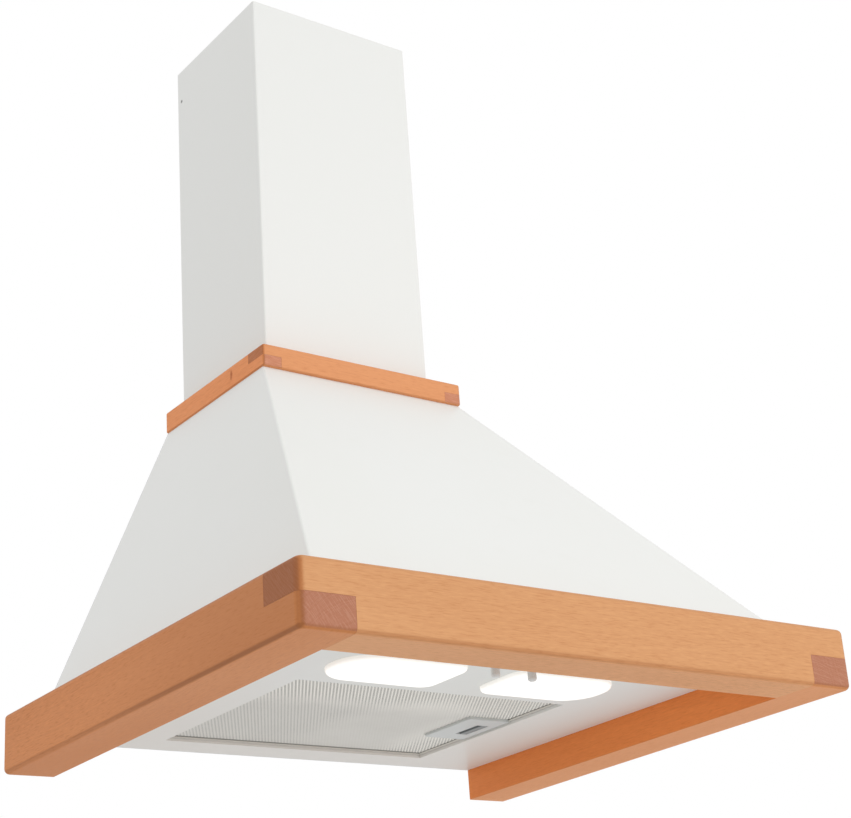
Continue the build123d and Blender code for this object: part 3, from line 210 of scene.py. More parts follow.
class Value:
    """A socket of a shader that Python's operators can work on."""

    def __init__(self, shader, socket):
        self.shader = shader
        self.socket = socket

    def __add__(self, other):
        return self.shader.maths("ADD", self, other)

    def __sub__(self, other):
        return self.shader.maths("SUBTRACT", self, other)

    def __rsub__(self, other):
        return self.shader.maths("SUBTRACT", other, self)

    def __mul__(self, other):
        return self.shader.maths("MULTIPLY", self, other)

    def __abs__(self):
        return self.shader.maths("ABSOLUTE", self)

    __radd__ = __add__
    __rmul__ = __mul__


class Shader:
    """A material or a world under construction."""

    def __init__(self, owner):
        owner.use_nodes = True
        self.owner = owner
        self.tree = owner.node_tree

    def node(self, kind, *values, out=0, settings=None, **links):
        """Adds any node: its settings first, then its sockets, by order or by name."""
        made = self.tree.nodes.new(kind)
        for key, value in (settings or {}).items():
            setattr(made, key, value)
        for socket, value in zip(made.inputs, values):
            self.feed(socket, value)
        self.fill(made, links)
        return Value(self, self.find(made.outputs, out))

    def fill(self, made, links):
        """Gives a node's named sockets their values or links."""
        for name, value in links.items():
            self.feed(self.find(made.inputs, name), value)

    def find(self, sockets, name):
        """A socket by number, identifier or name, where a name's spaces may be underscores."""
        if isinstance(name, int):
            return sockets[name]
        for socket in sockets:
            if socket.identifier == name or socket.name == name.replace("_", " "):
                return socket
        raise KeyError(name)

    def feed(self, socket, value):
        if isinstance(value, Value):
            self.tree.links.new(value.socket, socket)
        elif socket.type == "RGBA":
            socket.default_value = (*value[:3], 1)
        else:
            socket.default_value = value

    def maths(self, operation, *values):
        return self.node("ShaderNodeMath", *values, settings={"operation": operation})

    def split(self, vector):
        """The three parts of a vector."""
        first = self.node("ShaderNodeSeparateXYZ", vector)
        return [Value(self, socket) for socket in first.socket.node.outputs]

    def mix(self, factor, first, second):
        return self.node("ShaderNodeMix", settings={"data_type": "RGBA"}, out="Result_Color",
                         Factor_Float=factor, A_Color=first, B_Color=second)

    def step(self, value, low, high):
        """A smooth step from 0 at low to 1 at high."""
        return self.node("ShaderNodeMapRange", value, settings={"interpolation_type": "SMOOTHSTEP"},
                         From_Min=low, From_Max=high)

    def place(self):
        """The point on the piece, in the part's own frame."""
        return self.node("ShaderNodeTexCoord", out="Object")

    def facing(self):
        """The surface's direction, in the part's own frame."""
        return self.node("ShaderNodeTexCoord", out="Normal")

    def stretch(self, vector, scale, turn=(0, 0, 0), shift=(0, 0, 0)):
        return self.node("ShaderNodeMapping", Vector=vector, Scale=scale, Rotation=turn, Location=shift)

    def noise(self, vector, scale, detail=2.0, roughness=0.5):
        return self.node("ShaderNodeTexNoise", Vector=vector, Scale=scale, Detail=detail, Roughness=roughness)

    def bump(self, height, depth, strength=1.0):
        return self.node("ShaderNodeBump", Height=height, Distance=depth, Strength=strength)

    def coat(self, **links):
        """Feeds the material's own shader."""
        self.fill(self.tree.nodes["Principled BSDF"], links)
        return self.owner


def material(name, tone):
    """A new material with its plain viewport colour."""
    made = bpy.data.materials.new(name)
    made.diffuse_color = (*tone, 1)
    return Shader(made)


# Finishes

def beech(name, along, tone, side_shading_tone, seed, under=None, side_shade_fade=(1.0, 1.0), knot=None, ends=1.0,
          streak_turn=0.68):
    """Oiled beech: fine rings and short rays along the board, pink end grain, and painted light and shade.

    Faces that point left or down, end grain that faces left and the rounded edges carry painted light and
    shade. The underside's pair has its painted tones at the left and right ends of a board along X, or at
    the front and wall ends of one along Y. The side's pair has the left side's painted brightness at the
    wall and at the front, and ends the brightness of the cut ends.
    """
    tones = colours()
    shader = material(name, tone)
    point = shader.place()
    turn = 0 if along == "X" else -math.pi / 2
    board = shader.stretch(point, (1, 1, 1), turn=(0, 0, turn), shift=(seed, 0, 0))
    _, across, up = shader.split(board)
    wander = shader.noise(shader.stretch(board, (3, 14, 14)), 1.0, detail=3.0) - 0.5
    depth = across + HEART_ASIDE[along]
    height = up + HEART_DROP
    radius = shader.maths("SQRT", depth * depth + height * height) + wander * 0.02
    rings = shader.node("ShaderNodeTexNoise", settings={"noise_dimensions": "1D"},
                        W=radius * RINGS_PER_METRE, Scale=1.0, Detail=3.0, Roughness=0.65)
    cloud = shader.noise(shader.stretch(board, (1.2, 7, 7)), 2.2, detail=3.0)
    rays = shader.noise(shader.stretch(board, (95, 900, 900)), 1.0, detail=1.5)
    ray_mask = shader.step(rays, 0.54, 0.70)
    pale_mask = shader.step(1 - rays, 0.54, 0.72)
    pores = shader.noise(shader.stretch(board, (420, 4200, 4200)), 1.0, detail=1.0)
    pore_mask = shader.step(pores, 0.58, 0.72)
    ripple = shader.noise(shader.stretch(board, (34, 620, 620)), 1.0, detail=2.0)

    x_facing, y_facing, z_facing = shader.split(shader.facing())
    end = shader.step(abs(x_facing if along == "X" else y_facing), 0.60, 0.86)
    leftward = shader.step(x_facing * -1, 0.2, 0.7)
    lower = shader.step(z_facing * -1, 0.3, 0.7)
    depth_mix = ((rings - 0.5) * 0.35 + (cloud - 0.5) * 0.7 + (ripple - 0.5) * 0.4
                 + ray_mask * 0.30 - pale_mask * 0.26 + pore_mask * 0.12)
    figure = shader.step(depth_mix, -0.5, 0.9)
    x, y, _ = shader.split(point)
    near_front = shader.step(y * -1, 0.08, 0.5)
    # Painted light and shade on the faces that point left and on those that point down
    side = shader.mix(near_front, *(shade(side_shading_tone, part) for part in side_shade_fade))
    run = x if along == "X" else y + 0.3
    underside_shading = shader.mix(shader.step(run, -0.1, 0.25), *(under or (tone, tone)))
    plain = shader.mix(leftward, shader.mix(lower, tone, underside_shading), side)
    deep = shader.mix(leftward, each(tone, (0.80, 0.68, 0.58)), each(side_shading_tone, (0.80, 0.70, 0.62)))
    skin = shader.mix(figure, plain, deep)
    if knot:
        apart = shader.node("ShaderNodeVectorMath", shader.stretch(point, KNOT_SHAPE), each(knot, KNOT_SHAPE),
                            settings={"operation": "DISTANCE"}, out="Value")
        ragged = apart + (shader.noise(point, 420.0, detail=1.0) - 0.5) * 0.0022
        skin = shader.mix((1 - shader.step(ragged, 0.0006, 0.0032)) * 0.9, skin, KNOT_TONE)

    turned = shader.stretch(board, (1, 1, 1), turn=(streak_turn, 0, 0))
    streak = shader.noise(shader.stretch(turned, (60, 1300, 90)), 1.0, detail=2.0)
    streak_mask = shader.step(streak, 0.50, 0.64)
    # Painted shade: end grain that faces left is darker
    cut = shader.mix(shader.step(rings, 0.35, 0.7) * 0.25 + leftward * 0.75,
                     shade(tones.end_grain, ends), shade(tones.end_grain_shading, ends))
    cut = shader.mix(streak_mask * (0.36 - leftward * 0.24), cut, shade(tones.end_ray, ends))
    cut = shader.mix(pore_mask * 0.35, cut, (0.20, 0.075, 0.045))
    skin = shader.mix(end, skin, cut)
    # Painted shade along the rounded edges, strongest where they lean down near the front
    flat = shader.maths("MAXIMUM", shader.maths("MAXIMUM", abs(x_facing), abs(y_facing)), abs(z_facing))
    edge = shader.step(1 - flat, 0.0, 0.14)
    sideways = shader.step(abs(x_facing), 0.2, 0.6)
    leaning = shader.step(z_facing * -1, 0.1, 0.4) * (0.3 + sideways * 0.7)
    edge_shade_share = leftward * (1 - lower) * 0.3 + leaning * (0.18 + near_front * 0.60) + 0.16
    skin = shader.mix(edge * shader.maths("MINIMUM", edge_shade_share, 0.9), skin, tones.edge_shade)
    relief = rings * 0.3 + ray_mask * -0.4 + pore_mask * -0.4 + streak_mask * end * 0.4
    return shader.coat(
        Base_Color=skin,
        Roughness=0.46 + cloud * 0.14 + ray_mask * 0.08 + end * 0.12,
        Specular_IOR_Level=0.42,
        Normal=shader.bump(relief, 0.0001, 0.5))


def white_paint(name, shade_at_wall):
    """Satin powder coat with a fine orange-peel skin, faint soft clouds and the given shade painted near the
    wall.
    """
    tone = colours().paint
    shader = material(name, tone)
    point = shader.place()
    peel = shader.noise(point, 950.0, detail=2.0)
    cloud = shader.noise(point, 5.0, detail=2.0)
    grime = shader.noise(point, 38.0, detail=4.0)
    skin = shader.mix(shader.step(cloud, 0.3, 0.7) * 0.5, tone, each(tone, (0.985, 0.985, 0.97)))
    skin = shader.mix(shader.step(grime, 0.62, 0.8) * 0.15, skin, each(tone, (0.94, 0.935, 0.91)))
    # Painted shade towards the wall
    wall_shade = shader.step(shader.split(point)[1], -0.40, -0.04)
    skin = shader.mix(wall_shade * 0.9, skin, shade_at_wall)
    return shader.coat(
        Base_Color=skin,
        Roughness=0.40 + (grime - 0.5) * 0.10,
        Specular_IOR_Level=0.38,
        Normal=shader.bump(peel, 0.00005, 0.35))


def zinc_sheet():
    """Galvanised sheet with faint spangles."""
    tone = colours().zinc
    shader = material("zinc_sheet", tone)
    point = shader.place()
    spangle = shader.node("ShaderNodeTexVoronoi", Vector=point, Scale=120.0, out="Color")
    flake = shader.split(spangle)[0]
    fine = shader.noise(point, 700.0, detail=2.0)
    dull = shade(tone, 0.78)
    return shader.coat(
        Base_Color=shader.mix(flake * 0.6, tone, dull),
        Metallic=0.85,
        Roughness=0.32 + flake * 0.16 + fine * 0.05,
        Normal=shader.bump(fine, 0.00004, 0.3))


def mesh_cells():
    """How many lozenges the filter's expanded sheet has across and front to back."""
    low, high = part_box("filter_mesh")
    return round((high.x - low.x) / sizes().cell_width), round((high.y - low.y) / sizes().cell_length)


def filter_sheet(name, holes):
    """Bright expanded sheet: crossed strands with lozenge holes between them, dulled by a film of grease.

    Painted shade darkens the strands' flanks, the holes and the border, and painted lamp light makes it
    brighter and sharper towards the front and the right, where the grease thins. It is calm in a zone to
    the right of its middle, nearer the wall, where the painted shade of the strands and holes fades.
    """
    tone = colours().aluminium
    shader = material(name, tone)
    point = shader.place()
    x, y, _ = shader.split(point)
    low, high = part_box("filter_mesh")
    across, along = mesh_cells()
    film = shader.noise(point, 26.0, detail=3.0)
    fine = shader.noise(shader.stretch(point, (900, 160, 900)), 1.0, detail=2.0)
    width = high.x - low.x
    depth = high.y - low.y
    column = (x - low.x) * (across / width) + ABOVE_ZERO
    row = (y - low.y) * (along / depth)
    first = abs(shader.maths("FRACT", column - row) - 0.5) * 2
    second = abs(shader.maths("FRACT", column + row) - 0.5) * 2
    solid = shader.step(shader.maths("MAXIMUM", first, second * 0.92), 0.30, 0.62)
    crest = shader.step(shader.maths("MAXIMUM", first, second * 0.86), 0.72, 0.95)
    share_x = (x - low.x) * (1 / width)
    share_y = (high.y - y) * (1 / depth)
    # Painted lamp light: brighter and sharper towards the front and the right, with less grease there
    lamp_lit_and_clean = shader.maths("MAXIMUM", shader.step(share_y, 0.55, 0.85), shader.step(share_x, 0.72, 0.95))
    calm_x = (share_x - CALM_PLACE[0]) * CALM_NARROW[0]
    calm_y = (share_y - CALM_PLACE[1]) * CALM_NARROW[1]
    calm = 1 - shader.step(shader.maths("SQRT", calm_x * calm_x + calm_y * calm_y), 0.7, 1.5)
    sharp = shader.maths("MAXIMUM", lamp_lit_and_clean, 0.45) * (1 - calm * 0.9)
    skin = shader.mix(lamp_lit_and_clean, shade(tone, 0.91), shade(tone, 1.14))
    skin = shader.mix(shader.step(film, 0.45, 0.75) * (0.3 - lamp_lit_and_clean * 0.3), skin, shade(tone, 0.85))
    # Painted shade: the strands' flanks darker than their crests, and the holes darker still
    skin = shader.mix((1 - crest) * sharp * 0.3, skin, shade(tone, 0.8))
    skin = shader.mix((1 - solid) * sharp * 0.95, skin, shade(tone, 0.42))
    # Painted shadow of the gap along the sheet's border
    side_gap_shadow = shader.step(shader.maths("MINIMUM", x - low.x, high.x - x), 0.0014, 0.0026)
    back_gap_shadow = shader.step(shader.maths("MINIMUM", y - low.y, high.y - y), 0.002, 0.0045)
    skin = shader.mix((1 - side_gap_shadow * back_gap_shadow) * 0.8, skin, shade(tone, 0.16))
    settings = {
        "Base_Color": skin,
        "Metallic": lamp_lit_and_clean * crest * 0.85 + 0.05,
        "Roughness": 0.36 + film * 0.12 + fine * 0.06,
        "Normal": shader.bump(solid * sharp * 0.7 + fine * 0.3, 0.00012, 0.4),
    }
    if holes:
        settings["Alpha"] = shader.maths("MINIMUM", solid + (1 - sharp) * 0.7 + 0.3, 1.0)
    return shader.coat(**settings)


def bare_metal(name, tone, roughness=0.34, axis=(1, 1, 1), metallic=0.9):
    """Plain or brushed metal, drawn out along one axis where the scale there is small."""
    shader = material(name, tone)
    point = shader.place()
    brush = shader.noise(shader.stretch(point, [value * 900 for value in axis]), 1.0, detail=3.0)
    cloud = shader.noise(point, 30.0, detail=3.0)
    dull = shade(tone, 0.8)
    return shader.coat(
        Base_Color=shader.mix(brush * 0.45 + cloud * 0.3, tone, dull),
        Metallic=metallic,
        Roughness=roughness + brush * 0.14 + cloud * 0.08,
        Normal=shader.bump(brush, 0.00003, 0.35))


def stack_steel():
    """The motor's laminated stack: fine sheets side by side along its axis."""
    tone = colours().steel
    shader = material("motor_stack", tone)
    point = shader.place()
    x = shader.split(point)[0]
    sheets = shader.step(abs(shader.maths("FRACT", x * SHEETS_PER_METRE + ABOVE_ZERO) - 0.5), 0.30, 0.46)
    cloud = shader.noise(point, 60.0, detail=4.0)
    dull = shade(tone, 0.5)
    return shader.coat(
        Base_Color=shader.mix(sheets * 0.55 + cloud * 0.25, tone, dull),
        Metallic=0.85,
        Roughness=0.38 + cloud * 0.2,
        Normal=shader.bump(sheets * -1, 0.00008, 0.5))


def moulded(name, tone, roughness, grain=1400.0, relief=0.00003, coat=0.0):
    """Moulded plastic with spark-eroded grain and a little unevenness in its gloss."""
    shader = material(name, tone)
    point = shader.place()
    texture = shader.noise(point, grain, detail=2.0)
    cloud = shader.noise(point, 22.0, detail=3.0)
    pale = [min(1.0, value * 1.12 + 0.004) for value in tone]
    return shader.coat(
        Base_Color=shader.mix(texture * 0.35 + cloud * 0.3, tone, pale),
        Roughness=roughness + (cloud - 0.5) * 0.14 + texture * 0.05,
        Specular_IOR_Level=0.5,
        Coat_Weight=coat,
        Coat_Roughness=0.15,
        Normal=shader.bump(texture, relief, 0.4))


def opal_lens_finish():
    """Lit opal plastic, a little dimmer towards its rim, with the faint prisms of its inside."""
    tones = colours()
    shader = material("opal_lens", tones.opal)
    point = shader.place()
    z = shader.split(point)[2]
    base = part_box("lamp_lens_left")[0].z
    rise = shader.step(z, base + 0.0002, base + 0.004)
    place = (z - base) * PRISMS_PER_METRE + ABOVE_ZERO
    prisms = shader.step(abs(shader.maths("FRACT", place) - 0.5), 0.1, 0.4)
    cloud = shader.noise(point, 30.0, detail=2.0)
    glow = shader.mix(rise * 0.7 + prisms * rise * 0.3, tones.glow, (0.52, 0.51, 0.48))
    glow = shader.mix(shader.step(cloud, 0.45, 0.8) * 0.05, glow, (0.9, 0.89, 0.86))
    return shader.coat(
        Base_Color=tones.opal,
        Emission_Color=glow,
        Emission_Strength=0.5,
        Roughness=0.22 + cloud * 0.08,
        Specular_IOR_Level=0.4,
        Normal=shader.bump(prisms, 0.00006, 0.2))


def bulb_glass():
    """Frosted glass of the candle bulbs."""
    tones = colours()
    shader = material("frosted_bulb", tones.opal)
    frost = shader.noise(shader.place(), 600.0, detail=3.0)
    return shader.coat(
        Base_Color=shader.mix(frost * 0.3, tones.opal, (0.85, 0.85, 0.84)),
        Emission_Color=tones.glow,
        Emission_Strength=0.6,
        Roughness=0.35 + frost * 0.15,
        Normal=shader.bump(frost, 0.00003, 0.3))


# Modelling tools

def only(piece):
    """Leaves just this piece selected and active, in object mode."""
    if bpy.context.object and bpy.context.object.mode != "OBJECT":
        bpy.ops.object.mode_set(mode="OBJECT")
    bpy.ops.object.select_all(action="DESELECT")
    if piece:
        piece.select_set(True)
        bpy.context.view_layer.objects.active = piece


def named(name):
    """Names the new object and moves its place into its mesh."""
    piece = bpy.context.object
    piece.name = name
    piece.data.name = name
    bpy.ops.object.transform_apply(location=True, rotation=True, scale=True)
    return piece


def block(name, low, high):
    """A block between two corners, to be shaped further."""
    only(None)
    middle = [(a + b) / 2 for a, b in zip(low, high)]
    size = [b - a for a, b in zip(low, high)]
    bpy.ops.mesh.primitive_cube_add(size=1, location=middle, scale=size)
    return named(name)


def pick(piece, kind, test):
    """Opens the piece for editing with only the vertices, edges or faces selected that pass the test.

    The test gets each one's middle and its direction: a normal, or the way that an edge runs.
    """
    only(piece)
    mesh = piece.data
    bpy.context.tool_settings.mesh_select_mode = [kind == mode for mode in ("VERT", "EDGE", "FACE")]
    for group in (mesh.vertices, mesh.edges, mesh.polygons):
        group.foreach_set("select", [False] * len(group))
    if kind == "VERT":
        for vertex in mesh.vertices:
            vertex.select = test(vertex.co, vertex.normal)
    elif kind == "EDGE":
        for edge in mesh.edges:
            first, second = [mesh.vertices[index].co for index in edge.vertices]
            edge.select = test((first + second) / 2, (second - first).normalized())
    else:
        for face in mesh.polygons:
            face.select = test(face.center, face.normal)
    bpy.ops.object.mode_set(mode="EDIT")


def bevel(piece, radius, segments, test):
    """Rounds the edges that pass the test."""
    pick(piece, "EDGE", test)
    bpy.ops.mesh.bevel(offset=radius, offset_type="OFFSET", segments=segments, affect="EDGES",
                       clamp_overlap=True)
    bpy.ops.object.mode_set(mode="OBJECT")


def sink(piece, test, border, shift):
    """Insets the faces that pass the test and pushes what is inside the border by the shift."""
    pick(piece, "FACE", test)
    bpy.ops.mesh.inset(thickness=border, depth=0)
    bpy.ops.mesh.extrude_region_move(TRANSFORM_OT_translate={"value": (0, 0, shift)})
    bpy.ops.object.mode_set(mode="OBJECT")


def apply(piece, kind, **settings):
    """Adds a modifier and applies it."""
    only(piece)
    modifier = piece.modifiers.new("shape", kind)
    for key, value in settings.items():
        setattr(modifier, key, value)
    bpy.ops.object.modifier_apply(modifier=modifier.name)


def cut(piece, low, high):
    """Cuts a block away from the piece."""
    tool = block("cutter", low, high)
    apply(piece, "BOOLEAN", operation="DIFFERENCE", solver="EXACT", object=tool)
    bpy.data.objects.remove(tool)


def twin(piece, name):
    """A copy of the piece with its own mesh."""
    only(piece)
    bpy.ops.object.duplicate(linked=False)
    copy = bpy.context.object
    copy.name = name
    copy.data.name = name
    return copy


def join(piece, *others):
    """Joins other pieces into this one's mesh, where each stays a closed shell of its own."""
    only(piece)
    for other in others:
        other.select_set(True)
    bpy.ops.object.join()


def merge(piece):
    """Merges corners that lie on each other."""
    pick(piece, "VERT", lambda p, n: True)
    bpy.ops.mesh.remove_doubles(threshold=NEAR)
    bpy.ops.object.mode_set(mode="OBJECT")


def dress(piece, finish, body, slot, *nodes, angle=32.0, weighted=True):
    """Smooths a finished piece, gives it its finish, ties it to its body and hides the nodes it stands for.
    """
    only(piece)
    bpy.ops.object.shade_smooth_by_angle(angle=math.radians(angle))
    if weighted:
        apply(piece, "WEIGHTED_NORMAL", keep_sharp=True)
    piece.data.materials.clear()
    piece.data.materials.append(finish)
    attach(piece, body)
    if nodes:
        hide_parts(*nodes)
    return piece


def coat_nodes(finish, *names):
    """Gives carried-over nodes a finish."""
    for name in names:
        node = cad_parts[name]
        if not node.material_slots:
            node.data.materials.append(finish)
        for slot in node.material_slots:
            slot.material = finish


# Pieces

def lapped_frame(front_node, side_node, corner, rounding, inner):
    """Three rails in a U, open at the wall, half-lapped at the two front corners.

    One rounded block is hollowed, and each rail is what is left of a copy once its neighbours are cut away.
    """
    seam = sizes().seam
    low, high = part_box(front_node)
    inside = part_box(side_node)[1].x
    half = high.x
    back = high.y
    lap = (low.z + high.z) / 2
    far = 0.02
    whole = block("rails", low, (high.x, 0, high.z))
    bevel(whole, corner, 8, lambda p, d: abs(d.z) > 0.9 and p.y < low.y + NEAR)
    bevel(whole, rounding, 5, lambda p, d: abs(d.z) < 0.1 and p.y < -NEAR)
    cut(whole, (inside, back, low.z - far), (-inside, far, high.z + far))
    if inner:
        bevel(whole, inner, 2,
              lambda p, d: abs(d.z) < 0.1 and back - NEAR < p.y < -NEAR and abs(p.x) < -inside + NEAR)
    rails = {}
    front = twin(whole, "front")
    for hand in (-1, 1):
        outer = hand * (half + far)
        reach = hand * (-inside)
        x_range = sorted((outer, reach))
        cut(front, (x_range[0], back, low.z - far), (x_range[1], far, high.z + far))
        cut(front, (x_range[0], low.y - far, low.z - far), (x_range[1], back + far, lap + seam / 2))
        rail = twin(whole, "side")
        others = sorted((reach + hand * seam, -hand * (half + far)))
        cut(rail, (others[0], low.y - far, low.z - far), (others[1], far, high.z + far))
        cut(rail, (x_range[0] - far, low.y - far, lap - seam / 2),
            (x_range[1] + far, back + seam, high.z + far))
        rails["left" if hand < 0 else "right"] = rail
    rails["front"] = front
    bpy.data.objects.remove(whole)
    return rails


class HOOD_OT_frame(bpy.types.Operator):
    """Model the three lapped beech rails round the canopy's foot"""

    bl_idname = "hood.frame"
    bl_label = "Beech frame"

    def execute(self, context):
        size = sizes()
        tones = colours()
        rails = lapped_frame("front_rail", "left_rail", size.rail_corner, size.rail_round, size.rail_inner)
        front = beech("beech_front", "X", tones.beech, tones.beech_left_side_shading, seed=3.1,
                      under=(tones.beech_under_shading, tones.beech_under_end_shading))
        left = beech("beech_left", "Y", tones.beech_left, tones.beech_left_side_shading, seed=7.7,
                     under=(tones.beech_left_under_shading, tones.beech_left_under_far_shading), side_shade_fade=(1.18, 0.93))
        right = beech("beech_right", "Y", tones.beech_right, tones.beech_right_side_shading, seed=12.3,
                      under=(tones.beech_right_under_shading, tones.beech_right_under_shading), side_shade_fade=(0.96, 1.06),
                      streak_turn=1.35)
        for side, finish in (("front", front), ("left", left), ("right", right)):
            dress(rails[side], finish, HOOD, "beech", side + "_rail").name = "frame_" + side
        return {"FINISHED"}


class HOOD_OT_trim(bpy.types.Operator):
    """Model the three lapped beech strips round the chimney's foot"""

    bl_idname = "hood.trim"
    bl_label = "Beech trim"

    def execute(self, context):
        size = sizes()
        tones = colours()
        low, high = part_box("trim_left")
        knot = (low.x, low.y * KNOT_SHARE, (low.z + high.z) / 2 + KNOT_RISE)
        strips = lapped_frame("trim_front", "trim_left", size.trim_corner, size.trim_round, 0)
        cut_ends = {"ends": 1.34, "streak_turn": 1.5}
        front = beech("beech_trim_front", "X", tones.trim, tones.trim_side_shading, seed=1.9, **cut_ends)
        left = beech("beech_trim_left", "Y", tones.trim, tones.trim_side_shading, seed=5.3, knot=knot, **cut_ends)
        right = beech("beech_trim_right", "Y", tones.trim, tones.trim_side_shading, seed=9.1, **cut_ends)
        for side, finish in (("front", front), ("left", left), ("right", right)):
            dress(strips[side], finish, HOOD, "beech", "trim_" + side).name = "trim_strip_" + side
        return {"FINISHED"}


class HOOD_OT_filter(bpy.types.Operator):
    """Model the grease filter's expanded sheet with its pocket for the handle"""

    bl_idname = "hood.filter"
    bl_label = "Grease filter"

    def execute(self, context):
        size = sizes()
        low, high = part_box("filter_mesh")
        handle_low, handle_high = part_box("filter_handle")
        across, along = mesh_cells()
        parts = 4
        only(None)
        middle = ((low.x + high.x) / 2, (low.y + high.y) / 2, low.z)
        bpy.ops.mesh.primitive_grid_add(x_subdivisions=across * parts, y_subdivisions=along * parts, size=1,
                                        location=middle)
        bpy.context.object.scale = (high.x - low.x, high.y - low.y, 1)
        sheet = named("filter_lattice")

        def at_rim(point):
            """Whether a point lies on the sheet's outline."""
            within_x = low.x + NEAR < point.x < high.x - NEAR
            within_y = low.y + NEAR < point.y < high.y - NEAR
            return not (within_x and within_y)

        pick(sheet, "EDGE", lambda p, d: at_rim(p))
        bpy.ops.mesh.extrude_region_move(
            TRANSFORM_OT_translate={"value": (0, 0, size.cell_relief + size.mesh_sheet)})
        bpy.ops.mesh.edge_face_add()
        bpy.ops.object.mode_set(mode="OBJECT")
        x_step = (high.x - low.x) / (across * parts)
        y_step = (high.y - low.y) / (along * parts)

        def off_strand(point):
            """Steps from the nearest strand: 0 on it, 2 in the middle of a lozenge."""
            column = round((point.x - low.x) / x_step)
            row = round((point.y - low.y) / y_step)
            first = abs((column - row + parts // 2) % parts - parts // 2)
            second = abs((column + row + parts // 2) % parts - parts // 2)
            return min(first, second)

        for steps, share in ((1, 0.75), (2, 1.0)):
            pick(sheet, "VERT", lambda p, n: p.z < low.z + NEAR and off_strand(p) == steps)
            bpy.ops.transform.translate(value=(0, 0, size.cell_relief * share))
        bpy.ops.object.mode_set(mode="OBJECT")
        gap = size.gap
        cut(sheet, (handle_low.x - gap, handle_low.y - gap, low.z - PAST),
            (high.x + PAST, handle_high.y + gap, high.z + PAST))
        finish = filter_sheet("expanded_sheet", True)
        dress(sheet, finish, "filter", "filter_aluminium", "filter_mesh", angle=60.0, weighted=False)
        coat_nodes(filter_sheet("expanded_sheet_inner", False), "filter_pad", "filter_back_mesh")
        frame_finish = bare_metal("filter_frame_sheet", colours().aluminium, 0.36, (1, 1, 1), 0.6)
        coat_nodes(frame_finish, "filter_frame")
        return {"FINISHED"}


class HOOD_OT_handle(bpy.types.Operator):
    """Model the filter's handle plate and the latch that slides in it"""

    bl_idname = "hood.handle"
    bl_label = "Filter handle and latch"

    def execute(self, context):
        size = sizes()
        tones = colours()
        low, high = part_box("filter_handle")
        wall = size.handle_wall
        cup = block("handle_plate", low, high)
        bevel(cup, size.handle_round, 6, lambda p, d: abs(d.z) > 0.9 and p.x < low.x + NEAR)
        bevel(cup, wall / 2, 3, lambda p, d: p.z < low.z + NEAR)
        sink(cup, lambda p, n: n.z > 0.9, wall, low.z + wall - high.z)
        middle = (low.y + high.y) / 2
        tab_right = high.x - size.tab_from_edge
        tab_left = tab_right - size.tab_width
        reach = size.tab_length / 2
        gap = size.gap
        cut(cup, (tab_left - size.latch_travel - gap, middle - reach - gap, low.z - PAST),
            (tab_right + gap, middle + reach + gap, low.z + wall + JUST_PAST))
        latch_low, latch_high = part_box("filter_latch")
        nose = size.nose_width / 2
        cut(cup, (high.x - wall - JUST_PAST, middle - nose - gap, low.z + wall),
            (high.x + JUST_PAST, middle + nose + gap, high.z + JUST_PAST))
        finish = moulded("handle_plastic", tones.handle, 0.34, 1100.0, 0.00003, 0.1)
        dress(cup, finish, "filter", "handle_plastic", "filter_handle")

        plate_low = low.z + wall + gap
        plate_high = plate_low + LATCH_SHEET
        tab = block("latch_tab", (tab_left, middle - reach, latch_low.z),
                    (tab_right, middle + reach, plate_high))
        bevel(tab, EDGE_ROUND, 3, lambda p, d: p.z < latch_low.z + NEAR or abs(d.z) > 0.9)
        cover = size.latch_travel + 2 * gap
        plate = block("plate", (tab_left - cover, latch_low.y, plate_low),
                      (tab_right + cover, latch_high.y, plate_high))
        bevel(plate, THIN_EDGE_ROUND, 2, lambda p, d: True)
        tongue = block("tongue", (tab_right - LATCH_BITE, middle - nose, latch_high.z - LATCH_SHEET),
                       (latch_high.x, middle + nose, latch_high.z))
        bevel(tongue, THIN_EDGE_ROUND, 2, lambda p, d: True)
        riser = block("riser", (tab_right - LATCH_BITE, middle - nose, plate_low),
                      (high.x - 2 * wall - size.latch_travel, middle + nose, latch_high.z))
        join(tab, plate, tongue, riser)
        finish = moulded("latch_plastic", tones.latch, 0.42, 1500.0)
        dress(tab, finish, "latch", "latch_plastic", "filter_latch")
        return {"FINISHED"}


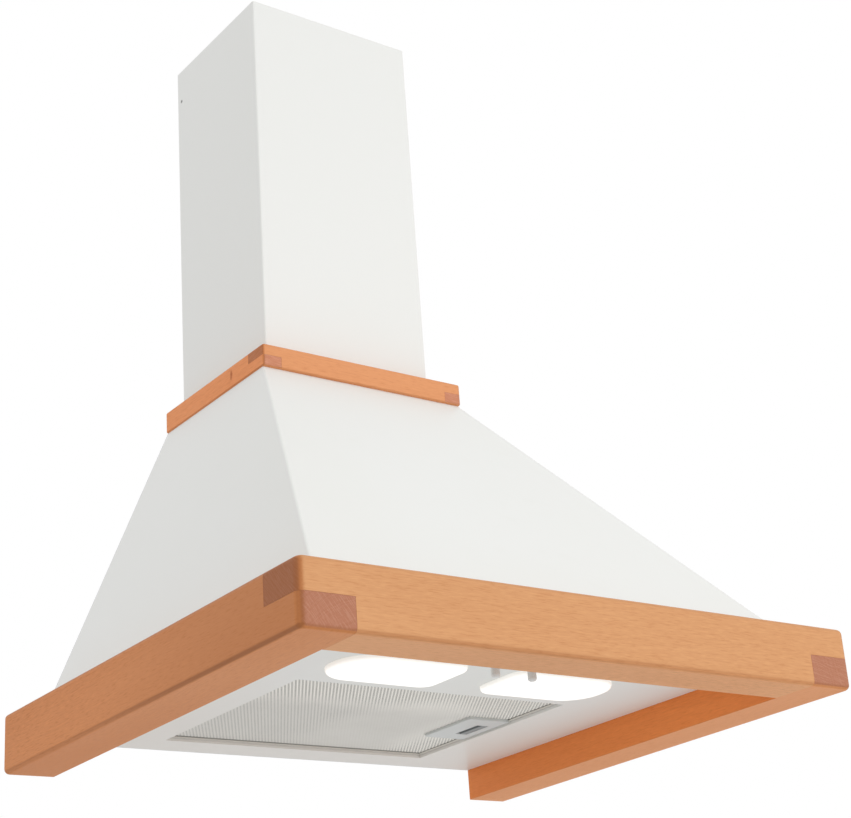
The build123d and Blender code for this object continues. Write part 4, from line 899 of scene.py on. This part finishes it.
class HOOD_OT_lamps(bpy.types.Operator):
    """Model the two opal lenses and finish the lamps behind them"""

    bl_idname = "hood.lamps"
    bl_label = "Lamps"

    def execute(self, context):
        size = sizes()
        opal = opal_lens_finish()
        for side, hand in (("left", -1), ("right", 1)):
            low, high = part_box("lamp_lens_" + side)
            shelf = high.z - size.lens_rim_thick
            inner_x, outer_x = (low.x, high.x) if hand > 0 else (high.x, low.x)
            lens = block("lens_" + side, (low.x, low.y, shelf), high)
            bevel(lens, size.lens_inner + size.lens_rim, 8,
                  lambda p, d: abs(d.z) > 0.9 and abs(p.x - inner_x) < NEAR)
            bevel(lens, size.lens_outer + size.lens_rim, 14,
                  lambda p, d: abs(d.z) > 0.9 and abs(p.x - outer_x) < NEAR)
            sink(lens, lambda p, n: n.z < -0.9, size.lens_rim, low.z - shelf)
            bevel(lens, size.lens_round, 6, lambda p, d: p.z < low.z + NEAR)
            floor = low.z + size.lens_wall
            sink(lens, lambda p, n: n.z > 0.9 and p.z > high.z - NEAR,
                 size.lens_rim + size.lens_wall, floor - high.z)
            bevel(lens, size.lens_round - size.lens_wall, 4,
                  lambda p, d: abs(p.z - floor) < NEAR and abs(d.z) < 0.1)
            merge(lens)
            dress(lens, opal, HOOD, "opal_lens", "lamp_lens_" + side)
        coat_nodes(bare_metal("reflector_sheet", REFLECTOR, 0.2, (1, 0.2, 1)),
                   "lamp_reflector_left", "lamp_reflector_right")
        coat_nodes(moulded("holder_plastic", HOLDER, 0.3), "lamp_holder_left", "lamp_holder_right")
        coat_nodes(bulb_glass(), "lamp_bulb_left", "lamp_bulb_right")
        return {"FINISHED"}


class HOOD_OT_sliders(bpy.types.Operator):
    """Model the two slider pegs that hang under the panel"""

    bl_idname = "hood.sliders"
    bl_label = "Sliders"

    def execute(self, context):
        size = sizes()
        finish = moulded("slider_plastic", colours().knob, 0.26, 1600.0, 0.00002, 0.25)
        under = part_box("bottom_panel")[0].z - size.gap
        for node, body in (("light_slider", "light_knob"), ("speed_slider", "speed_knob")):
            low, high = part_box(node)
            x = (low.x + high.x) / 2
            y = (low.y + high.y) / 2
            only(None)
            bpy.ops.mesh.primitive_cone_add(vertices=40, radius1=size.peg_tip, radius2=size.peg_top,
                                            depth=under - low.z, location=(x, y, (under + low.z) / 2))
            peg = named("peg_" + body)
            bevel(peg, size.peg_round, 6, lambda p, d: p.z < low.z + NEAR)
            bevel(peg, PEG_EDGE_ROUND, 2, lambda p, d: p.z > under - NEAR)
            rise = high.z - size.carriage - under + NECK_BITE
            sink(peg, lambda p, n: n.z > 0.9, size.peg_top - PEG_EDGE_ROUND - size.neck, rise)
            carriage = block("carriage", (low.x, low.y, high.z - size.carriage), high)
            bevel(carriage, EDGE_ROUND, 2, lambda p, d: True)
            join(peg, carriage)
            dress(peg, finish, body, "knob_plastic", node)
        return {"FINISHED"}


class HOOD_OT_finishes(bpy.types.Operator):
    """Give the sheet, the blower, the wiring and the fasteners their finishes"""

    bl_idname = "hood.finishes"
    bl_label = "Sheet, blower and wiring"

    def execute(self, context):
        tones = colours()
        coat_nodes(white_paint("white_powder_coat", tones.paint), "canopy", "chimney_cover")
        coat_nodes(white_paint("white_powder_coat_panel", tones.paint_shade_at_wall), "bottom_panel")
        coat_nodes(zinc_sheet(), "back_panel", "chimney_bracket", "motor_bracket", "capacitor_clip")
        coat_nodes(bare_metal("bright_steel", tones.steel, 0.25, (0.3, 1, 1)),
                   "motor_shaft", "flap_pin", "fan_nut")
        coat_nodes(bare_metal("screw_steel", tones.steel, 0.33),
                   "frame_screws", "trim_screws", "collar_bolts", "seam_bolts", "bracket_screws")
        coat_nodes(stack_steel(), "motor")
        coat_nodes(moulded("box_plastic", tones.box, 0.45), "control_box", "terminal_box", "terminal_lid",
                   "cable_gland")
        coat_nodes(moulded("blower_plastic", tones.blower, 0.48, 900.0, 0.00005), "blower_housing_left",
                   "blower_housing_right", "outlet_collar", "flap_left", "flap_right")
        coat_nodes(moulded("wheel_plastic", tones.wheel, 0.4, 1200.0), "impeller")
        coat_nodes(moulded("capacitor_can", CAPACITOR, 0.3), "capacitor")
        return {"FINISHED"}


def seen_directly(shader):
    """1 where the camera, a reflection or clear glass sees the background, 0 where it only gives light."""
    camera, glossy, through = [shader.node("ShaderNodeLightPath", out=name)
                               for name in ("Is Camera Ray", "Is Glossy Ray", "Is Transmission Ray")]
    return shader.maths("MAXIMUM", camera, shader.maths("MAXIMUM", glossy, through))


class HOOD_OT_stage(bpy.types.Operator):
    """Set the pale floor, the soft studio light and the camera"""

    bl_idname = "hood.stage"
    bl_label = "Stage"

    def execute(self, context):
        only(None)
        bpy.ops.mesh.primitive_plane_add(size=FLOOR_SIZE, location=(0, 0, -FLOOR_DROP))
        floor = named("floor")
        shader = material("pale_floor", (0.9, 0.9, 0.9))
        grain = shader.noise(shader.place(), 3.0, detail=2.0)
        pale = shader.mix(grain * 0.2, (0.86, 0.86, 0.86), (0.90, 0.90, 0.90))
        shader.coat(Base_Color=pale, Roughness=0.8)
        plain = Value(shader, shader.tree.nodes["Principled BSDF"].outputs[0])
        white = shader.node("ShaderNodeEmission", Color=(1, 1, 1), Strength=1.0)
        both = shader.node("ShaderNodeMixShader", seen_directly(shader) * 0.7, plain, white)
        shader.feed(shader.tree.nodes["Material Output"].inputs["Surface"], both)
        floor.data.materials.append(shader.owner)

        world = bpy.data.worlds.new("studio")
        context.scene.world = world
        shader = Shader(world)
        soft = Value(shader, shader.tree.nodes["Background"].outputs[0])
        shader.fill(shader.tree.nodes["Background"], {"Color": (1, 1, 1), "Strength": 0.715})
        white = shader.node("ShaderNodeBackground", Color=(1, 1, 1), Strength=1.0)
        both = shader.node("ShaderNodeMixShader", seen_directly(shader), soft, white)
        shader.feed(shader.tree.nodes["World Output"].inputs["Surface"], both)

        for name, place, size, power in (
                ("front_light", (0.6, -3.2, 0.6), 2.2, 25.5),
                ("left_light", (-2.2, -0.2, 2.2), 1.6, 5.0),
                ("low_light", (0.8, -1.9, -1.2), 1.4, 4.0)):
            bpy.ops.object.light_add(type="AREA", location=place)
            lamp = context.object
            lamp.name = name
            lamp.data.size = size
            lamp.data.energy = power
            aim = Vector(LIGHTS_AIM) - Vector(place)
            lamp.rotation_euler = aim.to_track_quat("-Z", "Y").to_euler()

        bpy.ops.object.camera_add(location=CAMERA_PLACE,
                                  rotation=[math.radians(angle) for angle in CAMERA_DEGREES])
        camera = context.object
        camera.name = "photo_camera"
        camera.data.lens = 79.0
        camera.data.sensor_width = 36.0
        camera.data.shift_x = -0.097
        camera.data.clip_start = 0.01
        context.scene.camera = camera
        context.scene.view_settings.view_transform = "Standard"
        return {"FINISHED"}


class HOOD_PT_sidebar(bpy.types.Panel):
    """The hood's sizes, colours and steps"""

    bl_idname = "HOOD_PT_sidebar"
    bl_label = "Range hood"
    bl_space_type = "VIEW_3D"
    bl_region_type = "UI"
    bl_category = "Hood"

    def draw(self, context):
        column = self.layout.column()
        for step in STEPS:
            column.operator(step.bl_idname)
        for group in (context.scene.hood_sizes, context.scene.hood_colours):
            box = self.layout.box()
            for key in group.bl_rna.properties.keys():
                if key not in ("name", "rna_type"):
                    box.prop(group, key)


STEPS = (HOOD_OT_finishes, HOOD_OT_frame, HOOD_OT_trim, HOOD_OT_filter, HOOD_OT_handle, HOOD_OT_lamps,
         HOOD_OT_sliders, HOOD_OT_stage)
CLASSES = (HoodSizes, HoodColours) + STEPS + (HOOD_PT_sidebar,)


def register():
    for kind in CLASSES:
        bpy.utils.register_class(kind)
    bpy.types.Scene.hood_sizes = PointerProperty(type=HoodSizes)
    bpy.types.Scene.hood_colours = PointerProperty(type=HoodColours)


def unregister():
    del bpy.types.Scene.hood_colours
    del bpy.types.Scene.hood_sizes
    for kind in reversed(CLASSES):
        bpy.utils.unregister_class(kind)


def main():
    """Builds every piece."""
    register()
    only(None)
    bpy.ops.hood.finishes()
    bpy.ops.hood.frame()
    bpy.ops.hood.trim()
    bpy.ops.hood.filter()
    bpy.ops.hood.handle()
    bpy.ops.hood.lamps()
    bpy.ops.hood.sliders()
    bpy.ops.hood.stage()
    only(None)


if __name__ == "__main__":
    main()
